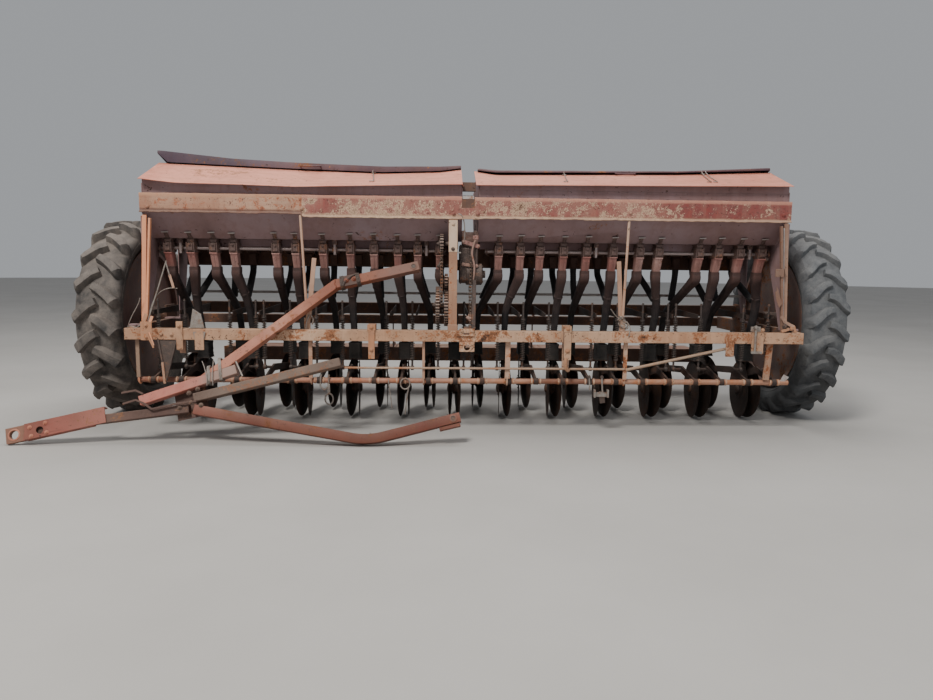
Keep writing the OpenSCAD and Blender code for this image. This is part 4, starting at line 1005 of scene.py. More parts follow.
def shaft_trim():
    b = Build()
    for x in (-1.612, -0.757, -0.242, 0.724, 1.612):
        # hanger plate's collar, with its clamp screws
        for s in (-1, 1):
            b.lathe((x + s * 0.006, METER_Y, METER_Z), (s, 0, 0), [(0.0092, 0), (0.019, 0), (0.019, 0.006), (0.016, 0.008), (0.0092, 0.008)], 18, 0, caps=False, loop=True)
        b.box((x - 0.013, -0.4505, 1.036), (x + 0.013, -0.404, 1.0615), 0.0015)
        b.bolt((x, -0.4505, 1.048), (0, -1, 0), 0.006, 0.005)
    for x0, x1 in ((-1.735, -0.118), (0.090, 1.735)):
        for x in (x0 + 0.004, x1 - 0.012):
            b.lathe((x, METER_Y, METER_Z), (1, 0, 0), [(0.0092, 0), (0.015, 0), (0.015, 0.010), (0.0092, 0.010)], 18, 0, caps=False, loop=True)
            b.cyl((x + 0.005, METER_Y, METER_Z - 0.020), (x + 0.005, METER_Y, METER_Z + 0.020), 0.0025, 8)
    b.obj("shaft_collars", "chassis", M_UNITD, "bare_shaft")


shaft_trim()


def fertiliser_units():
    b = Build()
    for sg in (-1, 1):
        for ux, _ in UNITS:
            x = sg * ux
            X = lambda a, b_, t, x=x: (x + t, a, b_)
            # cast body with a cover in front, its waist narrower than its cheeks
            b.prism([(-0.078, 1.0915), (-0.085, 1.078), (-0.085, 1.020), (-0.076, 0.996), (-0.060, 0.985), (-0.020, 0.985), (-0.006, 1.004), (-0.005, 1.0915)], X, -0.031, 0.031, 0.002)
            for s in (-1, 1):
                b.prism([(-0.080, 1.0915), (-0.084, 1.070), (-0.084, 1.022), (-0.074, 0.994), (-0.020, 0.987), (-0.006, 1.004), (-0.005, 1.0915)], X, s * 0.0345 - 0.0035, s * 0.0345 + 0.0035, 0.0015, 1)
                b.lathe((x + s * 0.0378, -0.045, 1.040), (s, 0, 0), [(0.024, -0.001), (0.024, 0.003), (0.019, 0.0045), (0.010, 0.0045)], 20, 1)
                b.bolt((x + s * 0.024, -0.0845, 1.070), (0, -1, 0), 0.005, 0.004, 1, washer=False)
            b.box((x - 0.027, -0.0855, 1.010), (x + 0.027, -0.0825, 1.062), 0.001, 1)
            # funnel to the hose
            rings = []
            for z, hw, y0, y1 in ((0.9855, 0.0245, -0.080, -0.034), (0.980, 0.0235, -0.080, -0.034), (0.945, 0.0215, -0.078, -0.038), (0.922, 0.0200, -0.077, -0.040), (0.9155, 0.0210, -0.078, -0.040)):
                yc, hy = (y0 + y1) / 2, (y1 - y0) / 2
                rings.append(np.array([V(x + p[0], yc + p[1], z) for p in rect_shape(hw, hy, 0.006, 4)])[::-1])
            b.rings(rings, mat=0)
        b.cyl((sg * 0.10, -0.045, 1.040), (sg * 1.740, -0.045, 1.040), 0.0085, 14, 3)
        # plate that carries them, with stiffening ribs
        xa, xb = sorted((sg * 0.070, sg * 1.735))
        b.box((xa, -0.0045, 0.913), (xb, -0.0018, 1.0915), 0.0006, 2)
        b.box((xa, -0.0045, 0.9125), (xb, 0.008, 0.9155), 0.0008, 2)
        xs = sorted(sg * u_[0] for u_ in UNITS)
        for x in xs:
            # hinged cover and lower flap of each unit, worked from a thin shaft along the back
            b.box((x - 0.027, -0.0022, 0.998), (x + 0.027, 0.0055, 1.060), 0.002, 4)
            b.box((x - 0.021, 0.0050, 1.006), (x + 0.021, 0.0080, 1.048), 0.0012, 0)
            b.cyl(V(x - 0.030, 0.0040, 1.0635), V(x + 0.030, 0.0040, 1.0635), 0.0045, 12, 3)
            b.box((x - 0.022, -0.0022, 0.936), (x + 0.022, 0.0030, 0.986), 0.0012, 4)
            b.bar(V(x + 0.014, 0.0150, 1.0800), V(x + 0.014, 0.0115, 1.0300), 0.0085, 0.0035, side=(1, 0, 0), c=0.0008, mat=3)
            b.bolt((x - 0.012, 0.0080, 1.027), (0, 1, 0), 0.0055, 0.005, 3, washer=False)
            for s in (-1, 1):
                b.bolt((x + s * 0.015, 0.0030, 0.961), (0, 1, 0), 0.0045, 0.004, 1, washer=False)
        b.cyl(V(sg * 0.090, 0.0165, 1.0800), V(sg * 1.725, 0.0165, 1.0800), 0.0058, 12, 3)
        for x in [(a_ + c_) / 2 for a_, c_ in zip(xs, xs[1:])][::3]:
            b.box((x - 0.009, -0.0022, 1.068), (x + 0.009, 0.0240, 1.0905), 0.0015, 1)
        for x in [(a_ + c_) / 2 for a_, c_ in zip(xs, xs[1:])][::2]:
            b.bar(V(x, -0.0010, 0.918), V(x, -0.0010, 1.088), 0.020, 0.004, side=(1, 0, 0), c=0.001, mat=2)
            for z in (0.935, 1.075):
                b.bolt((x, 0.0008, z), (0, 1, 0), 0.006, 0.005, 1)
    b.obj("fertiliser_meters", "chassis", [M_DBROWN, M_UNITD, M_FRAME, M_SHAFT, M_UNIT], "metering_paint", ("fertiliser_units",))


fertiliser_units()


def fertiliser_hoses():
    """Ribbed hoses from the fertiliser units to the seed hoses, each ending in a cuff."""
    b = Build()
    for R in ROWS:
        y1, z1, f = (-0.095, 0.724, 0.77) if R["rank"] is RANKS[0] else (-0.298, 0.738, 0.70)
        ux = R["ux"]
        e = V(ux + (R["x"] - ux) * f, y1, z1)
        a = V(ux, -0.059, 0.882)
        g = unit(e - a)
        pts = smooth([V(ux, -0.059, 0.9145), V(ux, -0.059, 0.897), a + g * 0.022, (a + e) / 2 + V(0.004 * nz(ux, 7, 1, 5.0), 0, 0), e - g * 0.03, e], 20)
        L = np.concatenate([[0], np.cumsum(np.linalg.norm(np.diff(pts, axis=0), axis=1))])
        n = int(L[-1] / 0.0040)
        q = np.linspace(0, L[-1], n)
        P = np.stack([np.interp(q, L, pts[:, i]) for i in range(3)], 1)
        r = 0.0188 + 0.0011 * np.cos(q / 0.012 * 2 * PI)
        r[(q < 0.020) | (q > L[-1] - 0.022)] = 0.0198
        r[-1] = r[0] = 0.0185
        b.sweep(P, r, 16)
    b.obj("fertiliser_hoses", "chassis", M_HOSE, "tube_rubber", ("fertiliser_tubes",), angle=50)


fertiliser_hoses()


def tubes(side):
    b = Build()
    for R in ROWS:
        if R["side"] != side:
            continue
        y, by, bz, ey, h = R["rank"]
        x, ux = R["x"], R["ux"]
        e = V(x, ey, 0.365 + h - 0.012)
        bb = V(x, by, bz)
        d = unit(e - bb)
        jx = 0.004 * nz(x, 1, 1, 5.0)
        a0 = V(ux, -0.411, 0.9060)
        a1 = V(ux, -0.410, 0.862)
        g = unit(bb - a1)
        # resample evenly
        pts = smooth([a0, V(ux, -0.410, 0.885), a1 + V(0, 0, 0), a1 + g * 0.06, (a1 + bb) / 2 + V(jx, 0, 0), bb - g * 0.045, bb + d * 0.045, (bb + e) / 2, e], 24)
        L = np.concatenate([[0], np.cumsum(np.linalg.norm(np.diff(pts, axis=0), axis=1))])
        n = int(L[-1] / 0.0042)
        s = np.linspace(0, L[-1], n)
        P = np.stack([np.interp(s, L, pts[:, i]) for i in range(3)], 1)
        sq = rect_shape(0.0250, 0.0265, 0.008, 4)
        tt = np.arctan2(sq[:, 1], sq[:, 0])
        ci = np.stack([np.cos(tt), np.sin(tt)], 1)

        def rad(q, L1=L[-1]):
            base = np.interp(q, [0, 0.05, 0.12, 0.20, 0.8 * L1, L1], [1.0, 1.04, 1.02, 0.95, 0.82, 0.78])
            return base
        dd = np.gradient(P, axis=0)
        dd /= np.linalg.norm(dd, axis=1)[:, None]
        u = V(1, 0, 0)
        rings = []
        for i in range(n):
            u = unit(u - dd[i] * (u @ dd[i]))
            w = np.cross(dd[i], u)
            q = s[i]
            mixr = np.clip((q - 0.03) / 0.10, 0, 1)
            sh = sq * (1 - mixr) + ci * 0.0265 * mixr
            rib = 0.0
            if q > 0.17:
                rib = 0.0012 * math.cos(q / 0.0126 * 2 * PI) * min(1, (q - 0.17) / 0.03) * min(1, (L[-1] - q) / 0.02)
            r = rad(q)
            rings.append(P[i] + (np.outer(sh[:, 0] * r * (1 + rib / 0.025), u) + np.outer(sh[:, 1] * r * (1 + rib / 0.025), w)))
        b.rings(rings, mat=0)
        # band where funnel meets tube
        for q, rr_, hh in ((0.168, 0.0262, 0.008),):
            i = int(np.argmin(abs(s - q)))
            b.lathe(P[i] - dd[i] * hh / 2, dd[i], [(rr_ - 0.003, 0), (rr_ + 0.0006, 0.0008), (rr_ + 0.0006, hh - 0.0008), (rr_ - 0.003, hh)], 18, 0)
    nm = "left" if side < 0 else "right"
    b.obj(f"seed_hoses_{nm}", "chassis", M_TUBE, "tube_rubber", (f"seed_tubes_{nm}",), angle=50)


tubes(-1)
tubes(1)


# ------------------------------------------------------------------ drive in the middle
def gear(b, o, r, w, teeth, bore=0.012, mat=0, depth=0.008, tip=None):
    """Toothed wheel on an X axis, solid, with a thin web and a hub."""
    out = []
    for i in range(teeth):
        for t, rr in ((0.0, r - depth), (0.22, r - depth), (0.34, r), (0.62, r), (0.74, r - depth)):
            a = (i + t) / teeth * 2 * PI
            out.append((rr * math.cos(a), rr * math.sin(a)))
    o = np.asarray(o, float)
    T = lambda p, q, t: (o[0] + t, o[1] + p, o[2] + q)
    at, n = len(b.mi), len(out)
    b.prism(out, T, -w / 2, w / 2, 0.0008, mat)
    if tip is not None:
        for i in range(3):
            for j in range(2, n, 5):
                b.mi[at + i * n + j] = tip
    b.lathe(o - V(w / 2 + 0.006, 0, 0), (1, 0, 0), [(0.020, 0), (0.022, 0.002), (0.022, w + 0.010), (0.020, w + 0.012)], 20, mat)
    b.bolt(o - V(w / 2 + 0.006, 0, 0), (-1, 0, 0), 0.009, 0.008, mat)


def drive():
    b = Build()
    b.box((-0.101, -0.585, 0.600), (-0.094, -0.430, 1.062), 0.0015, 0)
    for x, y, z, r, w, t in ((-0.155, -0.545, 1.045, 0.055, 0.020, 20), (-0.176, -0.512, 0.705, 0.105, 0.022, 38), (-0.129, -0.512, 0.690, 0.102, 0.022, 37)):
        gear(b, (x, y, z), r, w, t, tip=2)
        b.cyl((x - 0.013, y, z), (-0.094, y, z), 0.0118, 14)
    # small pinions and idler between them
    gear(b, (-0.129, -0.535, 0.842), 0.040, 0.018, 14, tip=2)
    b.cyl((-0.140, -0.535, 0.842), (-0.094, -0.535, 0.842), 0.010, 12)
    gear(b, (-0.155, -0.500, 0.925), 0.050, 0.018, 17, tip=2)
    b.cyl((-0.168, -0.500, 0.925), (-0.094, -0.500, 0.925), 0.010, 12)
    # chain on the left wheels
    def chain(pts, x, pitch=0.019, mat=1):
        pts = np.asarray(pts, float)
        L = np.concatenate([[0], np.cumsum(np.linalg.norm(np.diff(pts, axis=0), axis=1))])
        n = int(L[-1] / pitch)
        P = np.stack([np.interp(np.linspace(0, L[-1], n + 1), L, pts[:, i]) for i in range(2)], 1)
        for i in range(n):
            p, q = V(x, *P[i]), V(x, *P[i + 1])
            off = 0.0058 if i % 2 else 0.0042
            for s in (-1, 1):
                b.bar(p + V(s * off, 0, 0), q + V(s * off, 0, 0), 0.0018, 0.010, side=(1, 0, 0), c=0.0005, mat=mat)
            b.cyl(p - V(0.0068, 0, 0), p + V(0.0068, 0, 0), 0.0042, 8, mat)
    chain([(-0.586, 1.055), (-0.560, 0.925), (-0.595, 0.80), (-0.612, 0.70)], -0.155)
    chain([(-0.505, 1.075), (-0.452, 0.925), (-0.430, 0.80), (-0.412, 0.70)], -0.155)
    # carrier bolts
    for z in (0.63, 0.78, 0.98, 1.04):
        b.bolt((-0.094, -0.445, z), (1, 0, 0), 0.008, 0.006)
        b.bolt((-0.101, -0.570, z), (-1, 0, 0), 0.008, 0.006)
    b.obj("drive_wheels", "chassis", [M_GEAR, M_CHAIN, M_TEETH], "drive_steel", ("drive_gears",), angle=25)

    b = Build()
    X = lambda a, b_, t: (t, a, b_)
    # housing: a cast box with ribs, covers and flanges
    b.prism([(-0.540, 0.850), (-0.520, 0.830), (-0.460, 0.830), (-0.440, 0.850), (-0.440, 1.020), (-0.460, 1.040), (-0.520, 1.040), (-0.540, 1.020)], X, -0.058, 0.046, 0.004, 0)
    for x in (-0.050, -0.006, 0.038):
        b.prism([(-0.5445, 0.850), (-0.521, 0.8265), (-0.459, 0.8265), (-0.4355, 0.850), (-0.4355, 1.020), (-0.459, 1.0435), (-0.521, 1.0435), (-0.5445, 1.020)], X, x - 0.004, x + 0.004, 0.0015, 0)
    b.lathe((-0.045, -0.492, 1.080), (1, 0, 0), [(0.036, 0), (0.0415, 0.004), (0.042, 0.02), (0.034, 0.024), (0.034, 0.066), (0.042, 0.070), (0.0415, 0.086), (0.036, 0.090)], 32, 1)
    b.lathe((-0.020, -0.492, 0.880), (1, 0, 0), [(0.054, 0), (0.060, 0.004), (0.060, 0.088), (0.050, 0.094), (0.022, 0.094), (0.020, 0.110)], 36, 0)
    for i in range(6):
        a = i / 6 * 2 * PI
        b.bolt((0.068, -0.492 + 0.048 * math.cos(a), 0.880 + 0.048 * math.sin(a)), (1, 0, 0), 0.006, 0.005)
    b.box((-0.030, -0.520, 1.030), (0.030, -0.450, 1.0615), 0.002, 0)
    b.box((-0.094, -0.520, 0.900), (-0.058, -0.470, 0.960), 0.003, 0)
    # lever, fork and their pins in front of it
    b.sweep(smooth([V(0.020, -0.548, 0.845), V(0.026, -0.562, 0.92), V(0.012, -0.560, 1.00), V(0.030, -0.566, 1.075)], 8), 0.0055, 8, 1)
    b.box((0.016, -0.574, 1.070), (0.046, -0.558, 1.092), 0.002, 2)
    b.bar(V(-0.040, -0.550, 1.060), V(0.052, -0.552, 1.032), 0.022, 0.007, side=(0, 0, 1), mat=2)
    b.bar(V(-0.044, -0.547, 0.935), V(0.044, -0.547, 0.925), 0.018, 0.006, side=(0, 0, 1), mat=1)
    for p in ((-0.036, -0.548, 1.059), (0.046, -0.550, 1.034), (-0.038, -0.545, 0.934), (0.038, -0.545, 0.926)):
        b.bolt(p, (0, -1, 0), 0.007, 0.006, 1)
    # chain and its runners down to the beam
    def chain2(p0, p1, n):
        for i in range(n):
            a, c_ = p0 + (p1 - p0) * i / n, p0 + (p1 - p0) * (i + 1) / n
            off = 0.0058 if i % 2 else 0.0042
            for s in (-1, 1):
                b.bar(a + V(s * off, 0, 0), c_ + V(s * off, 0, 0), 0.0018, 0.011, side=(1, 0, 0), c=0.0005, mat=3)
            b.cyl(a - V(0.0068, 0, 0), a + V(0.0068, 0, 0), 0.0045, 8, 3)
    chain2(V(0.004, -0.560, 0.980), V(0.006, -0.585, 0.607), 20)
    chain2(V(0.004, -0.462, 0.860), V(0.006, -0.545, 0.607), 14)
    gear(b, (0.005, -0.566, 0.640), 0.032, 0.008, 11, mat=1)
    b.box((-0.003, -0.640, 0.584), (0.011, -0.540, 0.600), 0.002, 0)
    b.box((-0.030, -0.628, 0.584), (0.034, -0.560, 0.592), 0.0015, 0)
    b.bar(V(0.022, -0.600, 0.590), V(0.026, -0.556, 0.850), 0.022, 0.005, side=(1, 0, 0), mat=0)
    b.obj("drive_box", "chassis", [M_GEAR, M_TAN, M_UNIT, M_CHAIN], "drive_steel", ("drive_gearbox",), angle=30)


drive()


# ------------------------------------------------------------------ springs, openers
def springs():
    b = Build()
    for R in ROWS:
        x = R["x"] + R["rod"] * 0.052
        z1 = 0.720
        b.cyl((x, ROD_Y, ROD_Z + 0.010), (x, ROD_Y, z1), 0.006, 12)
        # eye
        b.lathe((x - 0.008, ROD_Y, ROD_Z), (1, 0, 0), [(0.0087, 0), (0.0135, 0), (0.014, 0.0008), (0.014, 0.0152), (0.0135, 0.016), (0.0087, 0.016)], 20, 0, caps=False, loop=True)
        # coil spring
        turns, n = 17, 17 * 12
        t = np.arange(n + 1) / n
        zc = 0.386 + (0.615 - 0.386) * t
        a = t * turns * 2 * PI + R["k"]
        pts = np.stack([x + 0.0115 * np.cos(a), ROD_Y + 0.0115 * np.sin(a), zc], 1)
        b.sweep(pts, 0.0024, 6)
        # seats
        for z in (0.380, 0.6150):
            b.lathe((x, ROD_Y, z), (0, 0, 1), [(0.013, 0), (0.0138, 0.001), (0.0138, 0.004), (0.013, 0.005)], 16)
        b.cyl((x - 0.013, ROD_Y, 0.626), (x + 0.013, ROD_Y, 0.626), 0.002, 6)
        # nut on top
        b.bolt((x, ROD_Y, z1 - 0.016), (0, 0, 1), 0.0075, 0.008, washer=False, stub=0.0)
    b.obj("coil_springs", "spring_rods", M_SPRING, "drive_steel", ("spring_rods",), angle=40)


springs()


def discs():
    b = Build()
    hub = Build()
    for R in ROWS:
        x, y = R["x"], R["rank"][0]
        for s in (-1, 1):
            a = math.radians(s * 5)
            ax = unit(V(s * math.cos(a), s * math.sin(a), 0))
            o = V(x, y, 0.180)
            # a shallow dished disc with a sharpened rim
            prof = [(0.0266, 0.0205), (0.050, 0.0202), (0.100, 0.0204), (0.155, 0.0206), (0.1745, 0.0215), (0.1749, 0.0222), (0.166, 0.0236), (0.155, 0.0238), (0.100, 0.0238), (0.060, 0.0238), (0.0266, 0.0238)]
            b.lathe(o, ax, prof, 72, 0, caps=False, loop=True)
            b.lathe(o, ax, [(0.060, 0.0232), (0.058, 0.0262), (0.040, 0.0275), (0.0268, 0.0275), (0.0268, 0.0232)], 40, 0, caps=False, loop=True)
            for i in range(5):
                t = i / 5 * 2 * PI + x * 3
                u, w = frame_of(ax)
                p = o + ax * 0.0272 + 0.044 * (math.cos(t) * u + math.sin(t) * w)
                b.lathe(p, ax, [(0.0055, 0), (0.005, 0.002), (0.0025, 0.0032)], 8)
            # hub cap on the body's stub
            hub.lathe(o, ax, [(0.024, 0.0335), (0.0255, 0.0342), (0.021, 0.0385), (0.012, 0.0405), (0.0, 0.0410)], 24, caps=False)
    b.obj("disc_blades", "openers", M_DISC, "opener_steel", ("opener_discs",), angle=28)

    for R in ROWS:
        x, y = R["x"], R["rank"][0]
        X = lambda a, b_, t, x=x, y=y: (x + t, y + a, b_)
        b = hub
        b.prism([(-0.026, 0.310), (-0.029, 0.260), (-0.026, 0.160), (-0.016, 0.146), (0.018, 0.146), (0.028, 0.165), (0.030, 0.260), (0.031, 0.340), (0.030, 0.362), (-0.022, 0.362), (-0.024, 0.330)], X, -0.008, 0.008, 0.003)
        b.prism([(-0.012, 0.352), (-0.010, 0.240), (0.0, 0.205), (0.010, 0.240), (0.014, 0.352)], X, -0.0125, 0.0125, 0.002)
        b.box((x - 0.037, y - 0.052, 0.3605), (x + 0.037, y + 0.042, 0.3655), 0.001)
        for s in (-1, 1):
            a = math.radians(s * 5)
            ax = unit(V(s * math.cos(a), s * math.sin(a), 0))
            hub.lathe(V(x, y, 0.180), ax, [(0.0255, 0.004), (0.026, 0.006), (0.026, 0.0338), (0.0245, 0.0342)], 28)
            # scraper between the discs
            b.bar(V(x + s * 0.004, y + 0.030, 0.300), V(x + s * 0.0095, y + 0.120, 0.215), 0.010, 0.003, side=(0, 0, 1))
        for dy, dz in ((-0.010, 0.335), (0.016, 0.335), (-0.012, 0.285)):
            for s in (-1, 1):
                b.bolt((x + s * 0.0078, y + dy, dz), (s, 0, 0), 0.007, 0.005)
        # leash strap plates on the body
        for s in (-1, 1):
            b.bar(V(x + s * 0.0095, y - 0.070, 0.290), V(x + s * 0.0095, y + 0.010, 0.292), 0.026, 0.0035, side=(0, 0, 1))
            b.bolt((x + s * 0.0112, y - 0.050, 0.290), (s, 0, 0), 0.0075, 0.005)
    hub.obj("opener_castings", "openers", M_IRON, "opener_steel", ("opener_bodies",), angle=35)


discs()


def boots():
    b = Build()
    for R in ROWS:
        x, (y, _, _, _, h) = R["x"], R["rank"]
        yc = y + (-0.049 + 0.039) / 2
        zb, zt = 0.365, 0.365 + h
        def ring(hx, hy, z, rnd):
            return np.array([V(x + p[0], yc + p[1], z) for p in rect_shape(hx, hy, rnd, 5)])
        out = [ring(0.0362, 0.0462, zb + 0.0004, 0.006), ring(0.037, 0.047, zb + 0.003, 0.007), ring(0.0355, 0.0455, zb + 0.012, 0.009)]
        for i in range(1, 6):
            t = i / 6
            w = 0.0012 * math.cos(i * 2.4 + x * 9)
            out.append(ring(0.0352 + w, 0.0452 + w, zb + 0.012 + (h - 0.028) * t, 0.011))
        out += [ring(0.0350, 0.0450, zt - 0.012, 0.012), ring(0.0368, 0.0468, zt - 0.008, 0.013), ring(0.0370, 0.0470, zt - 0.003, 0.013), ring(0.0360, 0.0460, zt, 0.012)]
        inn = [ring(0.0325, 0.0425, zt - 0.0008, 0.011), ring(0.0315, 0.0415, zt - 0.006, 0.011), ring(0.0315, 0.0415, zb + 0.010, 0.011), ring(0.0325, 0.0425, zb + 0.0004, 0.006)]
        b.rings(out + inn, caps=False, loop=True)
        # wire band round the boot
        pts = [V(x + p[0], yc + p[1], zb + 0.020) for p in rect_shape(0.0360, 0.0460, 0.010, 5)]
        b.sweep(pts, 0.0016, 6, closed=True)
    b.obj("rubber_boots", "openers", M_BOOT, "tube_rubber", ("seed_boots",), angle=50)


boots()


# ------------------------------------------------------------------ footboard
def footboard():
    b = Build()
    rnd = random.Random(3)
    for i in range(5):
        y0 = 0.5605 + i * 0.048
        for x0, x1 in ((-1.700, -0.571), (-0.567, 0.566), (0.570, 1.700)):
            d = rnd.uniform(-0.0015, 0.0)
            def f(u, v, x0=x0, x1=x1, y0=y0, d=d):
                x = x0 + (x1 - x0) * u
                return V(x, y0 + 0.0455 * v + 0.0006 * nz(x, i, 2, 5.0), 0.3185 + d + 0.0008 * nz(x, v, i, 3.0))
            b.sheet(f, 24, 2, 0.0205, 0)
    b.box((-1.700, 0.5545, 0.244), (1.700, 0.5598, 0.340), 0.001, 1)
    for x in (-1.5, -0.5, 0.5, 1.5):
        for y in (0.585, 0.632, 0.680, 0.728, 0.776):
            b.lathe((x - 0.02, y, 0.3385), (0, 0, 1), [(0.007, 0), (0.006, 0.002), (0.002, 0.003)], 10, 1)
            b.lathe((x + 0.02, y, 0.3385), (0, 0, 1), [(0.007, 0), (0.006, 0.002), (0.002, 0.003)], 10, 1)
        b.bolt((x + 0.02, 0.5545, 0.300), (0, -1, 0), 0.009, 0.006, 1)
    b.obj("footboard_planks", "chassis", [M_BOARD, M_FRAME], "board_paint", ("footboard",), angle=30)


footboard()

# ------------------------------------------------------------------ wires, clips, clamps and bolts on the beam and the drawbar
def euler_frame():
    a, b, c = (math.radians(t) for t in (67.64, -12.4, 4.82))
    rx = np.array([[1, 0, 0], [0, math.cos(a), -math.sin(a)], [0, math.sin(a), math.cos(a)]])
    ry = np.array([[math.cos(b), 0, math.sin(b)], [0, 1, 0], [-math.sin(b), 0, math.cos(b)]])
    rz = np.array([[math.cos(c), -math.sin(c), 0], [math.sin(c), math.cos(c), 0], [0, 0, 1]])
    return rz @ ry @ rx


DR = euler_frame()


def D(u, v, n=0.0):
    """Point on the drawbar: u along it, v across, n out of its plane towards the front."""
    return DR @ V(u, v, n) + V(-2.317, -0.895, 0.0589)


def lower_arm():
    """Lower arm of the drawbar, a square tube bent in a smooth elbow, with the pad under its tip."""
    b = Build()
    P = [np.array(q, float) for q in ((0.900, -0.087), (1.731, -0.447), (2.222, -0.436))]
    a, c = P[1] + unit(P[0] - P[1]) * 0.090, P[1] + unit(P[2] - P[1]) * 0.090
    path = [P[0] + (a - P[0]) * i / 14 for i in range(14)]
    path += [(1 - t) ** 2 * a + 2 * t * (1 - t) * P[1] + t * t * c for t in np.linspace(0, 1, 15)]
    path += [c + (P[2] - c) * i / 9 for i in range(1, 10)]
    pts = []
    for i, q in enumerate(path):
        w = 0.0007
        pts.append(D(q[0], q[1] + w * nz(i * 0.35, 2, 5, 1.3), w * nz(i * 0.35, 7, 1, 1.3)))
    up_ = D(0, 1, 0) - D(0, 0, 0)
    k0 = 21 / (len(pts) - 1)
    def outline(f):
        g = 1.0 - 0.035 * math.exp(-((f - k0) / 0.09) ** 2)
        o = rect_shape(0.0250, 0.0250, 0.0032, 4)
        return o * np.array([g, 1.0])
    b.sweep(np.array(pts), 1.0, shape=outline, side=up_)
    b.bar(D(2.105, -0.4742, 0), D(2.215, -0.4742, 0), 0.0180, 0.0400, side=up_, c=0.002)
    # creases that the bend left on its inner side
    for i, u_ in enumerate((1.706, 1.728, 1.752)):
        b.sweep([D(u_ + 0.002 * math.sin(3 * t), -0.4125 - 0.0010 * abs(i - 1), -0.021 + 0.042 * t) for t in np.linspace(0, 1, 8)], 0.0022, 6)
    b.obj("drawbar_lower_tube", "chassis", M_DLOW, "drawbar_paint", ("drawbar_arm_lower",), angle=30)


lower_arm()


